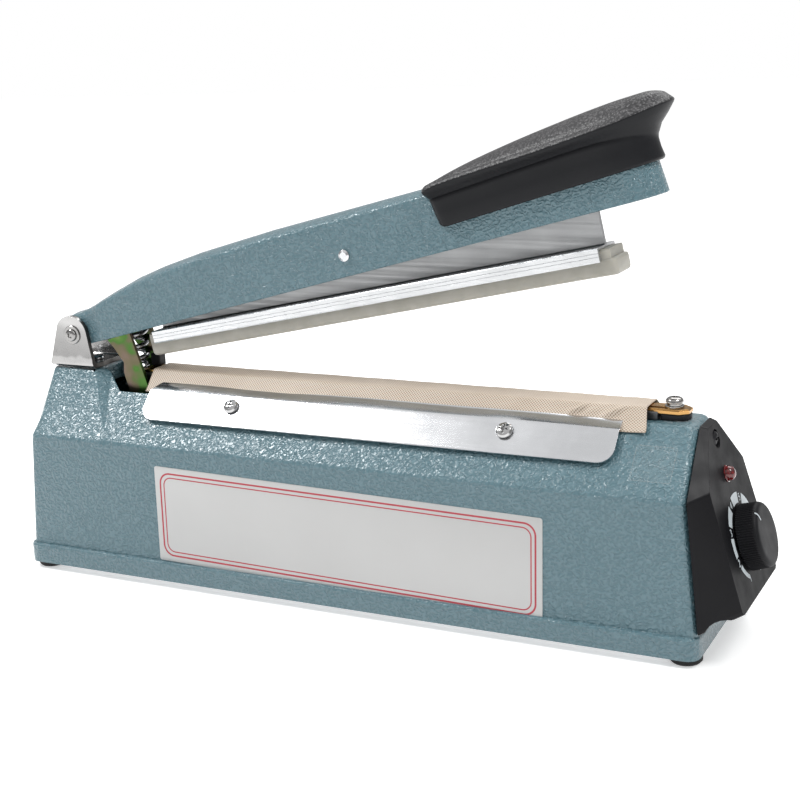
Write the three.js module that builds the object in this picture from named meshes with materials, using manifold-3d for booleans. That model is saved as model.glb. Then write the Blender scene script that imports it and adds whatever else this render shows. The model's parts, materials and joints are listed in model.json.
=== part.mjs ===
// Hand impulse sealer for plastic bags: a cast housing with a rear post, a hinged cast arm that
// carries a rocking pressure bar, a cloth-covered sealing bed, and an end panel with a timer knob.
// Millimetres, Z up, the knob towards +X, the near long wall towards -Y, feet on Z = 0.

import * as THREE from 'three';
import { mergeVertices } from 'three/addons/utils/BufferGeometryUtils.js';
import { ConvexGeometry } from 'three/addons/geometries/ConvexGeometry.js';
import Module from 'manifold-3d';

const wasm = await Module();
wasm.setup();

// Clearances and overruns
const seatGap = 0.3;
const slipGap = 0.3;
const overrun = 4;

// Round work
const roundSteps = 24;
const smallSteps = 12;
const cornerSteps = 3;

// Housing
const rimLength = 300;
const rimWidth = 65.2;
const rimHeight = 8.5;
const rimCorner = 5;
const rimRound = 1;
const footHeight = 2.7;
const rimStep = 1.65;
const bodyWidth = rimWidth - 2 * rimStep;
const bendDraft = 0.6;
const bendWidth = bodyWidth - 2 * bendDraft;
const topWidth = 18.8;
const bendHeight = 60.7;
const topHeight = 82.3;
const frontInset = 0.6;
const rearInset = 1.2;
const frontLean = 5.1;
const rearLean = 5.1;
const bodyCorner = 3.5;
const bendRound = 3;
const topRound = 2.5;
const wall = 3;
const bossRadius = 5.2;
const bossHeight = 15;

// Rear post and the slot in front of it
const postHeight = 86.3;
const postLength = 23.4;
const postWidth = 22;
const postBevel = 1;
const postCorner = 3;
const postReach = 38.4;
const postNose = 4.9;
const slotLength = 35.5;
const slotWidth = 25.8;
const slotNeckWidth = 12.8;
const slotNeckLength = 3.5;
const slotTaper = 9.4;
const slotStart = 30.5;

// Bottom plate, feet and their screws
const plateThickness = 1.5;
const footRadius = 6;
const footSideInset = 8.1;
const rearFootInset = 6.3;
const frontFootInset = 6.3;
const footScrewRadius = 1.5;
const footHeadRadius = 3;
const footHeadHeight = 1.6;
const ventLength = 22;
const ventWidth = 3;
const ventCount = 5;
const ventPitch = 9;

// Cord gland in the rear wall
const glandRadius = 4.5;
const glandBore = 2.6;
const glandFlange = 6.5;
const glandFlangeThickness = 1.5;
const glandHeight = 26;

// Hinge bracket and pin
const bracketWidth = 22;
const bracketSheet = 2;
const bracketBend = 2.6;
const pinRise = 15;
const pinInset = 19;
const earRadius = 8.2;
const earShift = 0.7;
const earRear = 13.2;
const earFront = 9.7;
const earWaist = 8.2;
const earWaistDrop = 4;
const pinRadius = 1.8;
const pinHeadRadius = 3.2;
const pinHeadHeight = 1.3;
const bracketScrewRadius = 1.5;
const bracketScrewHead = 2.9;
const bracketScrewSpacing = 11;
const bracketScrewLength = 6;

// Arm, measured along it from the pin (u) and square to it (v)
const openAngle = 14.7;
const armLength = 268.6;
const armRear = 9;
const armWidth = 22;
const armNeckWidth = 17.4;
const armNeckLength = 11;
const armFlare = 3.3;
const armDrop = 5.7;
const armRise = 17.6;
const armCrown = 1.7;
const armWall = 2.5;
const armTopWall = 3;
const armEdgeRound = 2.4;
const barrelLength = 5;

// Leg bracket that hangs from the arm, and its screw
const legSheet = 1.5;
const legWidth = 16.4;
const legBend = 2.4;
const legLength = 45;
const legRearStart = 17.6;
const legRearFoot = 18.9;
const legFrontStart = 28;
const legFrontFoot = 29.9;
const legHorn = 2.2;
const legHornDrop = 4;
const legBulge = 20.4;
const legBulgeDrop = 17.2;
const legScrewRadius = 1.4;
const legScrewHead = 3;
const legScrewHeadHeight = 1.6;
const legScrewLength = 2.2;

// Return spring
const springRadius = 6;
const springWire = 2.2;
const springPitch = 5;
const springSeatHeight = 55.7;
const springPlace = 27.1;
const springSeatThickness = 5;
const springSeatReach = 7;

// Pressure bar, measured from its rivet along it (a) and square to it (b)
const pivotPlace = 142.1;
const pivotRise = 2.5;
const barTilt = 3.1;
const barFront = 100.2;
const barRear = 100.8;
const barWidth = 19;
const barTop = 15.3;
const barBottom = 20.5;
const webThickness = 2;
const webRise = 4;
const webRearRise = -2;
const webRearTaper = 40;
const rivetRadius = 1.5;
const rivetHead = 2.3;
const rivetHeadHeight = 0.9;
const siliconeFront = 105.6;
const siliconeRear = 104.6;
const siliconeWidth = 15;
const siliconeBottom = 25.9;
const siliconeRound = 1.5;
const channelRoof = 0.9;

// Grip over the arm's nose
const gripStart = 182.6;
const gripLength = 95.3;
const gripLow = 3.1;
const gripHeight = 26.4;
const gripWidth = 33;
const gripSkirtWidth = 26.4;
const gripBow = 4;
const gripSkirtTop = 14;
const gripScrewRadius = 1.45;
const gripScrewHead = 2.9;
const gripScrewHeadHeight = 2;
const gripScrewLength = 8;
const gripScrewInset = 22;
const gripScrewSpacing = 42;

// Sealing bed: bar, strip, ribbon and cloth
const bedTop = 87.5;
const clothThickness = 0.35;
const clothFront = 26;
const clothLength = 217;
const clothTopWidth = 11.9;
const clothHem = 79;
const ribbonThickness = 0.2;
const ribbonWidth = 4.4;
const ribbonEndInset = 4;
const ribbonGap = 0.2;
const stripThickness = 0.6;
const bedBarWidth = 10.4;
const bedBarReach = 3.5;
const tongueLength = 6.6;
const bedScrewRadius = 1.4;
const bedScrewHead = 2.8;
const bedScrewHeadHeight = 1.8;
const bedScrewLength = 1.6;
const bedScrewInset = 45;

// Side plates and their screws
const sideSheet = 1;
const sideStandoff = 1.2;
const sideFront = 33.8;
const sideLength = 205.8;
const sideBottom = 69;
const sideCorner = 6;
const sideLip = 4.8;
const sideLipThin = 0.45;
const sideScrewFront = 77;
const sideScrewSpacing = 120.2;
const sideScrewDrop = 9.2;
const sideScrewRadius = 1.5;
const sideScrewHead = 3.3;
const sideScrewHeadHeight = 1.9;
const sideScrewLength = 6.5;
const crossLength = 3.6;
const crossWidth = 0.8;
const crossDepth = 1.1;

// Terminals at both ends of the ribbon
const terminalThickness = 0.6;
const frontPlateThickness = 1.6;
const terminalWidth = 9.6;
const terminalLength = 15.5;
const terminalTip = 4;
const terminalBlockLength = 12.6;
const terminalScrewInset = 5.7;
const terminalScrewRadius = 1.5;
const washerRadius = 3.1;
const washerHeight = 1;
const terminalHead = 3.1;
const terminalHeadHeight = 2.4;
const rearTerminalLength = 13;
const rearBlockInset = 0.3;
const rearBlockLength = 4.7;
const rearBlockHeight = 3.9;

// End panel
const panelBase = 12.3;
const panelHeel = 20;
const panelTop = 81.2;
const panelTilt = 16.6;
const panelRise = 2.9;
const panelBendHeight = 62.9;
const panelTopWidth = 11.3;
const panelCrest = 81.9;
const panelCrestWidth = 13;
const panelBendWidth = 46.2;
const panelHeelWidth = 50.8;
const panelWall = 2.4;
const panelCove = 7.5;
const windowWidth = 38;
const windowLow = 18;
const windowHigh = 64;
const panelScrewHeight = 76;
const panelScrewRadius = 1.4;
const panelScrewHead = 2.6;
const panelScrewHeadHeight = 1.6;
const panelScrewLength = 9;
const panelRecess = 3.4;
const panelRecessDepth = 1.4;

// Knob, shaft, potentiometer and lamp
const knobHeight = 39.8;
const knobRadius = 12;
const knobLength = 8.7;
const knobRibs = 40;
const knobRibDepth = 0.35;
const knobBevel = 0.5;
const shaftRadius = 3;
const shaftInKnob = 5;
const potRadius = 8;
const potLength = 8;
const potNeck = 4.5;
const lampRise = 23.4;
const lampRadius = 2.5;
const lampFlange = 3.2;
const lampBody = 6;

// Transformer
const coreLength = 57;
const coreHeight = 47.5;
const coreStack = 28;
const limbWidth = 19;
const yokeWidth = 9.5;
const windingBuild = 7.5;
const transformerPlace = -15;
const strapSheet = 1.2;
const strapWidth = 14;
const strapFoot = 10;

// Timer board with relay and capacitor
const boardLength = 62;
const boardWidth = 40;
const boardThickness = 1.6;
const boardPlace = 92;
const boardHeight = 12;
const pillarRadius = 2.4;
const pillarInset = 4;
const relayLength = 19;
const relayWidth = 15.5;
const relayHeight = 15;
const capacitorRadius = 6;
const capacitorHeight = 16;

// Microswitch, its bracket and lever
const switchLength = 20;
const switchWidth = 6.4;
const switchHeight = 10;
const switchBase = 28;
const leverPivotHeight = 40;
const leverPivotPlace = 38;
const leverLength = 24;
const leverThickness = 0.8;
const leverWidth = 3;
const leverOuter = 9.6;
const leverLean = 23;
const leverEye = 1.6;
const leverPinRadius = 0.8;
const switchBracketSheet = 1.2;
const switchBracketFoot = 9;

// Places worked out from the sizes above
const rimBase = footHeight + seatGap;
const rimTop = rimBase + rimHeight;
const frontEnd = rimLength / 2;
const rearEnd = -rimLength / 2;
const bodyRear = rearEnd + rearInset;
const bodyFront = frontEnd - frontInset;
const pinPlace = rearEnd + pinInset;
const pinHeight = postHeight + pinRise;
const lampHeight = knobHeight + lampRise;
const footSpacing = rimWidth - 2 * footSideInset;
const tan = (degrees) => Math.tan(THREE.MathUtils.degToRad(degrees));
const sin = (degrees) => Math.sin(THREE.MathUtils.degToRad(degrees));
const cos = (degrees) => Math.cos(THREE.MathUtils.degToRad(degrees));
const rearFaceAt = (height) => bodyRear + (height - rimTop) * tan(rearLean);
const frontFaceAt = (height) => bodyFront - (height - rimTop) * tan(frontLean);
const panelFaceAt = (height) => frontFaceAt(panelTop) + panelRise + (panelTop - height) * tan(panelTilt);
const armPoint = (along, rise) => new THREE.Vector2(
  pinPlace + along * cos(openAngle) - rise * sin(openAngle),
  pinHeight + along * sin(openAngle) + rise * cos(openAngle),
);

// Materials
const paint = { color: 0x6b9299, roughness: 0.45, metalness: 0.1 };
const zinc = { color: 0x8f8b62, roughness: 0.35, metalness: 0.85 };
const chrome = { color: 0xdfe2e4, roughness: 0.12, metalness: 1 };
const steel = { color: 0xb9bcc0, roughness: 0.3, metalness: 1 };
const aluminium = { color: 0xc6c8ca, roughness: 0.35, metalness: 0.9 };
const brass = { color: 0xb98a3e, roughness: 0.3, metalness: 0.9 };
const black = { color: 0x1d1e20, roughness: 0.45, metalness: 0 };
const dark = { color: 0x2f2f31, roughness: 0.5, metalness: 0.3 };
const silicone = { color: 0xd8d8d2, roughness: 0.6, metalness: 0 };
const cloth = { color: 0xcdb89c, roughness: 0.7, metalness: 0 };
const rubber = { color: 0x17181a, roughness: 0.85, metalness: 0 };
const red = { color: 0x7a0f14, roughness: 0.15, metalness: 0 };
const board = { color: 0x2f6b3a, roughness: 0.5, metalness: 0 };
const copper = { color: 0xa4562c, roughness: 0.4, metalness: 0.6 };
const blue = { color: 0x27508c, roughness: 0.4, metalness: 0 };
const white = { color: 0xd9dbd8, roughness: 0.6, metalness: 0 };

// Solids from three.js geometry, and geometry from solids
function solid(geometry) {
  const bare = geometry.clone();
  bare.deleteAttribute('normal');
  bare.deleteAttribute('uv');
  const merged = mergeVertices(bare);
  return new wasm.Manifold(new wasm.Mesh({
    numProp: 3,
    vertProperties: new Float32Array(merged.attributes.position.array),
    triVerts: new Uint32Array(merged.index.array),
  }));
}

function shell(body) {
  const mesh = body.getMesh();
  const geometry = new THREE.BufferGeometry();
  geometry.setAttribute('position', new THREE.BufferAttribute(mesh.vertProperties, 3));
  geometry.setIndex(new THREE.BufferAttribute(mesh.triVerts, 1));
  geometry.computeVertexNormals();
  return geometry;
}

// A closed surface through rows of matching outlines; place(point, row) puts each point in space
function loft(outlines, place) {
  const count = outlines[0].length;
  const positions = [];
  outlines.forEach((outline, row) => {
    outline.forEach((point) => positions.push(...place(point, row).toArray()));
  });
  const faces = [];
  for (let row = 1; row < outlines.length; row += 1) {
    for (let index = 0; index < count; index += 1) {
      const low = (row - 1) * count + index;
      const lowNext = (row - 1) * count + (index + 1) % count;
      faces.push(low, lowNext, lowNext + count, low, lowNext + count, low + count);
    }
  }
  const lastRow = (outlines.length - 1) * count;
  for (const [first, second, third] of THREE.ShapeUtils.triangulateShape(outlines[0], [])) {
    faces.push(first, third, second);
  }
  for (const [first, second, third] of THREE.ShapeUtils.triangulateShape(outlines.at(-1), [])) {
    faces.push(lastRow + first, lastRow + second, lastRow + third);
  }
  const geometry = new THREE.BufferGeometry();
  geometry.setAttribute('position', new THREE.Float32BufferAttribute(positions, 3));
  geometry.setIndex(faces);
  geometry.computeVertexNormals();
  return geometry;
}

// Outlines are lists of points taken anticlockwise
function points(...pairs) {
  return pairs.map(([first, second]) => new THREE.Vector2(first, second));
}

function rounded(outline, radii, steps = cornerSteps) {
  const result = [];
  outline.forEach((corner, index) => {
    const radius = Array.isArray(radii) ? radii[index] : radii;
    if (radius === 0) {
      result.push(corner.clone());
      return;
    }
    const before = outline.at(index - 1).clone().sub(corner).normalize();
    const after = outline[(index + 1) % outline.length].clone().sub(corner).normalize();
    const half = Math.acos(THREE.MathUtils.clamp(before.dot(after), -1, 1)) / 2;
    const middle = before.clone().add(after).normalize();
    const centre = corner.clone().addScaledVector(middle, radius / Math.sin(half));
    const start = corner.clone().addScaledVector(before, radius / Math.tan(half)).sub(centre);
    const sweep = Math.PI - 2 * half;
    const turn = Math.sign(before.cross(after)) * -1;
    for (let step = 0; step <= steps; step += 1) {
      const spoke = start.clone().rotateAround(new THREE.Vector2(), turn * sweep * step / steps);
      result.push(centre.clone().add(spoke));
    }
  });
  return result;
}

// Each edge of a convex outline moved inwards by a distance
function shrunk(outline, distance) {
  return outline.map((corner, index) => {
    const into = corner.clone().sub(outline.at(index - 1)).normalize();
    const out = outline[(index + 1) % outline.length].clone().sub(corner).normalize();
    const firstInward = new THREE.Vector2(-into.y, into.x);
    const secondInward = new THREE.Vector2(-out.y, out.x);
    const middle = firstInward.clone().add(secondInward).normalize();
    return corner.clone().addScaledVector(middle, distance / middle.dot(firstInward));
  });
}

function rectangle(width, height) {
  return points(
    [-width / 2, -height / 2],
    [width / 2, -height / 2],
    [width / 2, height / 2],
    [-width / 2, height / 2],
  );
}

function disc(radius, steps = roundSteps, centre = new THREE.Vector2()) {
  return Array.from({ length: steps }, (unused, step) => {
    const angle = 2 * Math.PI * step / steps;
    return new THREE.Vector2(Math.cos(angle), Math.sin(angle)).multiplyScalar(radius).add(centre);
  });
}

// Extrusions: an outline in (x, y) raised along Z, in (y, z) run along X, in (x, z) centred on Y
function raised(outline, height, holes = []) {
  const shape = new THREE.Shape(outline);
  shape.holes = holes.map((hole) => new THREE.Path(hole));
  return new THREE.ExtrudeGeometry(shape, { depth: height, bevelEnabled: false });
}

function alongX(outline, start, end, holes = []) {
  const turn = new THREE.Matrix4().makeBasis(
    new THREE.Vector3(0, 1, 0),
    new THREE.Vector3(0, 0, 1),
    new THREE.Vector3(1, 0, 0),
  );
  return raised(outline, end - start, holes).applyMatrix4(turn).translate(start, 0, 0);
}

function acrossY(outline, width, holes = []) {
  const turn = new THREE.Matrix4().makeBasis(
    new THREE.Vector3(1, 0, 0),
    new THREE.Vector3(0, 0, 1),
    new THREE.Vector3(0, -1, 0),
  );
  return raised(outline, width, holes).applyMatrix4(turn).translate(0, width / 2, 0);
}

function block(length, width, height, x, y, z) {
  return new THREE.BoxGeometry(length, width, height).translate(x, y, z + height / 2);
}

// Turned pieces stand on their axis; aim lays the axis along a direction from a point
function aim(geometry, direction, origin) {
  const turn = new THREE.Quaternion().setFromUnitVectors(
    new THREE.Vector3(0, 1, 0),
    direction.clone().normalize(),
  );
  return geometry.applyQuaternion(turn).translate(origin.x, origin.y, origin.z);
}

function turned(profile, steps = roundSteps) {
  return new THREE.LatheGeometry(points(...profile), steps);
}

function rod(radius, start, end, steps = smallSteps) {
  const direction = end.clone().sub(start);
  const length = direction.length();
  const profile = [[0, 0], [radius, 0], [radius, length], [0, length]];
  return aim(turned(profile, steps), direction, start);
}

const lengthwise = new THREE.Vector3(1, 0, 0);
const sideways = new THREE.Vector3(0, 1, 0);
const upright = new THREE.Vector3(0, 0, 1);
const downward = new THREE.Vector3(0, 0, -1);

// Pan head screw: the head stands on the seat plane at zero and the shank goes down from it
function screw(headRadius, headHeight, shankRadius, shankLength, steps = smallSteps) {
  const profile = [
    [0, -shankLength],
    [shankRadius, -shankLength],
    [shankRadius, 0],
    [headRadius, 0],
    [headRadius, headHeight * 0.4],
    [headRadius * 0.82, headHeight * 0.8],
    [headRadius * 0.45, headHeight],
    [0, headHeight],
  ];
  return turned(profile, steps);
}

function crossScrew(headRadius, headHeight, shankRadius, shankLength) {
  const bite = headHeight + overrun - crossDepth;
  let body = solid(screw(headRadius, headHeight, shankRadius, shankLength, roundSteps * 2 / 3));
  for (const [length, width] of [[crossLength, crossWidth], [crossWidth, crossLength]]) {
    const arm = new THREE.BoxGeometry(length, overrun, width);
    body = body.subtract(solid(arm.translate(0, bite - overrun / 2 + crossDepth - crossDepth, 0)));
  }
  return shell(body);
}

const assembly = new THREE.Group();

function add(name, geometry, look, parent = assembly) {
  const mesh = new THREE.Mesh(geometry, new THREE.MeshStandardMaterial(look));
  mesh.name = name;
  parent.add(mesh);
  return mesh;
}

// The housing's cross-section, bottom edge first
function bodyOutline(inset) {
  const corners = shrunk(points(
    [-bodyWidth / 2, rimBase],
    [bodyWidth / 2, rimBase],
    [bendWidth / 2, bendHeight],
    [topWidth / 2, topHeight],
    [-topWidth / 2, topHeight],
    [-bendWidth / 2, bendHeight],
  ), inset);
  return rounded(corners, [0, 0, bendRound, topRound, topRound, bendRound]);
}

function makeBody() {
  const rows = [];
  for (let step = 0; step <= cornerSteps; step += 1) {
    const angle = Math.PI / 2 * step / cornerSteps;
    rows.push([bodyCorner * (1 - Math.sin(angle)), bodyCorner * (1 - Math.cos(angle))]);
  }
  const ends = [...rows.map((row) => [...row, -1]), ...rows.toReversed().map((row) => [...row, 1])];
  const outlines = ends.map(([inset]) => bodyOutline(inset));
  return loft(outlines, (point, row) => {
    const [, along, side] = ends[row];
    const x = side < 0 ? rearFaceAt(point.y) + along : frontFaceAt(point.y) - along;
    return new THREE.Vector3(x, point.x, point.y);
  });
}

function makeRim() {
  const bevels = [[0, 0], [0, rimHeight - rimRound], [rimRound * 0.3, rimHeight - rimRound * 0.3]];
  bevels.push([rimRound, rimHeight]);
  const outlines = bevels.map(([inset]) => rounded(
    rectangle(rimLength - 2 * inset, rimWidth - 2 * inset),
    rimCorner - inset,
    cornerSteps + 1,
  ));
  return loft(outlines, (point, row) => new THREE.Vector3(point.x, point.y, rimBase + bevels[row][1]));
}

// The post is the hull of its rounded top and the shoulder points that it flows into
const postRear = rearFaceAt(bendHeight);
const postMiddle = postRear + postLength / 2;
function makePost() {
  const hull = [];
  for (const [inset, height] of [[0, postHeight - postBevel], [postBevel, postHeight]]) {
    const top = rectangle(postLength - 2 * inset, postWidth - 2 * inset);
    rounded(top, postCorner - inset).forEach((point) => {
      hull.push(new THREE.Vector3(postMiddle + point.x, point.y, height));
    });
    for (const y of [-slotNeckWidth / 2, slotNeckWidth / 2]) {
      hull.push(new THREE.Vector3(postRear + postLength + postNose - inset, y, height));
    }
  }
  const sink = topRound * 0.3;
  for (const side of [-1, 1]) {
    const bend = side * (bendWidth / 2 - sink);
    hull.push(new THREE.Vector3(postRear + bodyCorner, bend, bendHeight - sink));
    hull.push(new THREE.Vector3(postRear + sink, side * (bendWidth / 2 - bodyCorner), bendHeight - sink));
    hull.push(new THREE.Vector3(postRear + postReach, bend, bendHeight - sink));
    hull.push(new THREE.Vector3(postRear + postReach, side * topWidth / 2, topHeight - topRound));
  }
  return new ConvexGeometry(hull);
}

const slotRear = rearEnd + slotStart;
const slotFront = slotRear + slotLength;
const slotNeck = slotRear + slotNeckLength;
function slotOutline() {
  return points(
    [slotRear, -slotNeckWidth / 2],
    [slotNeck, -slotNeckWidth / 2],
    [slotNeck + slotTaper, -slotWidth / 2],
    [slotFront, -slotWidth / 2],
    [slotFront, slotWidth / 2],
    [slotNeck + slotTaper, slotWidth / 2],
    [slotNeck, slotNeckWidth / 2],
    [slotRear, slotNeckWidth / 2],
  );
}

const footPlaces = [];
for (const x of [rearEnd + rearFootInset, frontEnd - frontFootInset]) {
  for (const y of [-footSpacing / 2, footSpacing / 2]) {
    footPlaces.push(new THREE.Vector2(x, y));
  }
}

// The slanted side: a point and its outward and downward directions, for one side or the other
function shoulder(side) {
  const edge = new THREE.Vector2(side * topWidth / 2, topHeight);
  const down = new THREE.Vector2(side * (bendWidth - topWidth) / 2, bendHeight - topHeight).normalize();
  const out = new THREE.Vector2(-side * down.y, side * down.x);
  return (offset, along) => edge.clone().addScaledVector(out, offset).addScaledVector(down, along);
}

const sideScrewPlaces = [];
for (const side of [-1, 1]) {
  for (const x of [frontEnd - sideScrewFront, frontEnd - sideScrewFront - sideScrewSpacing]) {
    const inner = shoulder(side)(0, sideScrewDrop);
    const outer = shoulder(side)(1, sideScrewDrop);
    const direction = new THREE.Vector3(0, outer.x - inner.x, outer.y - inner.y);
    sideScrewPlaces.push({ side, direction, origin: new THREE.Vector3(x, inner.x, inner.y) });
  }
}

const armPivot = armPoint(pivotPlace, pivotRise);
const springSeat = armPoint(springPlace, 0);
const bedScrewPlaces = [frontEnd - clothFront - bedScrewInset, slotFront + bedScrewInset];
const panelScrewPlace = new THREE.Vector3(frontFaceAt(panelScrewHeight), 0, panelScrewHeight);
const panelScrewEnd = panelScrewPlace.clone().addScaledVector(lengthwise, -panelScrewLength);

function makeHousing() {
  let body = solid(makeBody()).add(solid(makeRim())).add(solid(makePost()));
  const cavity = loft([bodyOutline(wall), bodyOutline(wall)], (point, row) => {
    const x = row === 0 ? rearFaceAt(point.y) + wall : frontFaceAt(point.y) - wall;
    return new THREE.Vector3(x, point.x, point.y);
  });
  const inside = bodyWidth - 2 * wall;
  const mouthLength = frontFaceAt(rimTop) - rearFaceAt(rimTop) - 2 * wall;
  const mouth = raised(rounded(rectangle(mouthLength, inside), bodyCorner), wall + overrun + rimRound);
  mouth.translate((frontFaceAt(rimTop) + rearFaceAt(rimTop)) / 2, 0, rimBase - overrun);
  body = body.subtract(solid(cavity).add(solid(mouth)));
  const rabbetHeight = plateThickness + seatGap;
  const rabbet = raised(plateOutline(seatGap), rabbetHeight + overrun).translate(0, 0, rimBase - overrun);
  for (const place of footPlaces) {
    const low = new THREE.Vector3(place.x, place.y, rimBase + rabbetHeight);
    const high = low.clone().addScaledVector(upright, bossHeight);
    body = body.add(solid(rod(bossRadius, low, high)));
  }
  body = body.subtract(solid(rabbet));
  for (const place of footPlaces) {
    const low = new THREE.Vector3(place.x, place.y, rimBase);
    const high = low.clone().addScaledVector(upright, bossHeight - wall);
    body = body.subtract(solid(rod(footScrewRadius + slipGap, low, high)));
  }
  const ledgeEnd = springSeat.x + springSeatReach;
  const ledgeStart = rearFaceAt(springSeatHeight) + wall / 2;
  const ledgeWidth = 2 * springRadius + seatGap;
  const ledge = acrossY(rounded(points(
    [ledgeStart, springSeatHeight - springSeatThickness * 3],
    [ledgeStart + springSeatThickness, springSeatHeight - springSeatThickness * 3],
    [ledgeEnd - springSeatThickness, springSeatHeight - springSeatThickness],
    [ledgeEnd, springSeatHeight - springSeatThickness],
    [ledgeEnd, springSeatHeight],
    [ledgeStart, springSeatHeight],
  ), 0), ledgeWidth);
  body = body.add(solid(ledge));
  const panelBoss = rod(panelScrewRadius + wall, panelScrewPlace.clone()
    .addScaledVector(lengthwise, -wall / 2), panelScrewEnd.clone().addScaledVector(lengthwise, -wall / 2));
  body = body.add(solid(panelBoss));
  const slotDepth = topHeight - bendHeight;
  body = body.subtract(solid(raised(slotOutline(), slotDepth + overrun).translate(0, 0, bendHeight)));
  const openings = [block(
    wall * 3, windowWidth, windowHigh - windowLow,
    frontFaceAt(windowHigh), 0, windowLow,
  )];
  openings.push(rod(
    panelScrewRadius + slipGap,
    panelScrewPlace.clone().addScaledVector(lengthwise, overrun),
    panelScrewEnd.clone().addScaledVector(lengthwise, -seatGap),
  ));
  openings.push(rod(
    glandRadius + slipGap,
    new THREE.Vector3(rearFaceAt(glandHeight) - overrun, 0, glandHeight),
    new THREE.Vector3(rearFaceAt(glandHeight) + overrun + wall, 0, glandHeight),
  ));
  for (const { direction, origin } of sideScrewPlaces) {
    const outside = origin.clone().addScaledVector(direction, overrun);
    const inward = origin.clone().addScaledVector(direction, -overrun - wall);
    openings.push(rod(sideScrewRadius + slipGap, inward, outside));
  }
  for (const x of bedScrewPlaces) {
    const low = new THREE.Vector3(x, 0, topHeight - wall - overrun);
    openings.push(rod(bedScrewRadius + slipGap, low, new THREE.Vector3(x, 0, topHeight + overrun)));
  }
  for (const x of bracketScrewPlaces()) {
    const low = new THREE.Vector3(x, 0, postHeight - bracketScrewLength);
    openings.push(rod(bracketScrewRadius + slipGap, low, new THREE.Vector3(x, 0, postHeight + overrun)));
  }
  for (const opening of openings) {
    body = body.subtract(solid(opening));
  }
  return shell(body);
}

function plateOutline(grow) {
  const length = rimLength - 2 * wall - seatGap + 2 * grow;
  const width = bodyWidth - wall - seatGap + 2 * grow;
  return rounded(rectangle(length, width), rimCorner - wall + grow);
}

const boardCentre = new THREE.Vector2(boardPlace, 0);
const boardBottom = rimBase + boardHeight;
const pillarPlaces = [];
for (const x of [-1, 1]) {
  for (const y of [-1, 1]) {
    pillarPlaces.push(new THREE.Vector2(
      boardCentre.x + x * (boardLength / 2 - pillarInset),
      boardCentre.y + y * (boardWidth / 2 - pillarInset),
    ));
  }
}

function makeBottomPlate() {
  const holes = footPlaces.map((place) => disc(footScrewRadius + slipGap, smallSteps, place));
  for (let index = 0; index < ventCount; index += 1) {
    const middle = transformerPlace + (index - (ventCount - 1) / 2) * ventPitch;
    const slot = rounded(rectangle(ventWidth, ventLength), ventWidth * 0.49, cornerSteps);
    holes.push(slot.map((point) => point.add(new THREE.Vector2(middle, 0))));
  }
  let body = solid(raised(plateOutline(0), plateThickness, holes).translate(0, 0, rimBase));
  for (const place of pillarPlaces) {
    const low = new THREE.Vector3(place.x, place.y, rimBase + plateThickness / 2);
    const high = new THREE.Vector3(place.x, place.y, boardBottom - seatGap);
    body = body.add(solid(rod(pillarRadius, low, high)));
  }
  return shell(body);
}

function addFeet() {
  const recess = footHeadHeight + seatGap + overrun * 0.05;
  footPlaces.forEach((place, index) => {
    const bore = footScrewRadius + slipGap;
    const profile = [
      [bore, footHeight],
      [bore, recess],
      [footHeadRadius + slipGap, recess],
      [footHeadRadius + slipGap, 0],
      [footRadius * 0.88, 0],
      [footRadius, footHeight * 0.3],
      [footRadius, footHeight],
      [bore, footHeight],
    ];
    const origin = new THREE.Vector3(place.x, place.y, 0);
    add(`foot_${index + 1}`, aim(turned(profile), upright, origin), rubber);
    const head = screw(footHeadRadius, footHeadHeight, footScrewRadius, bossHeight * 0.7);
    const seat = new THREE.Vector3(place.x, place.y, recess - seatGap * 0.3);
    add(`foot_screw_${index + 1}`, aim(head, downward, seat), steel);
  });
}

function makeGland() {
  const outside = rearFaceAt(glandHeight) - seatGap;
  const length = wall + 2 * seatGap;
  const profile = [
    [glandBore, -glandFlangeThickness],
    [glandFlange * 0.8, -glandFlangeThickness],
    [glandFlange, 0],
    [glandRadius, 0],
    [glandRadius, length],
    [glandBore, length],
    [glandBore, -glandFlangeThickness],
  ];
  const lean = (glandFlange + slipGap) * tan(rearLean);
  return aim(turned(profile), lengthwise, new THREE.Vector3(outside - lean, 0, glandHeight));
}

// Hinge bracket: a folded U whose ears are trimmed to a round-topped outline
const bracketBottom = postHeight + seatGap;
function bracketScrewPlaces() {
  const middle = pinPlace + (earFront - earRear) / 2;
  return [middle - bracketScrewSpacing / 2, middle + bracketScrewSpacing / 2];
}

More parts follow.
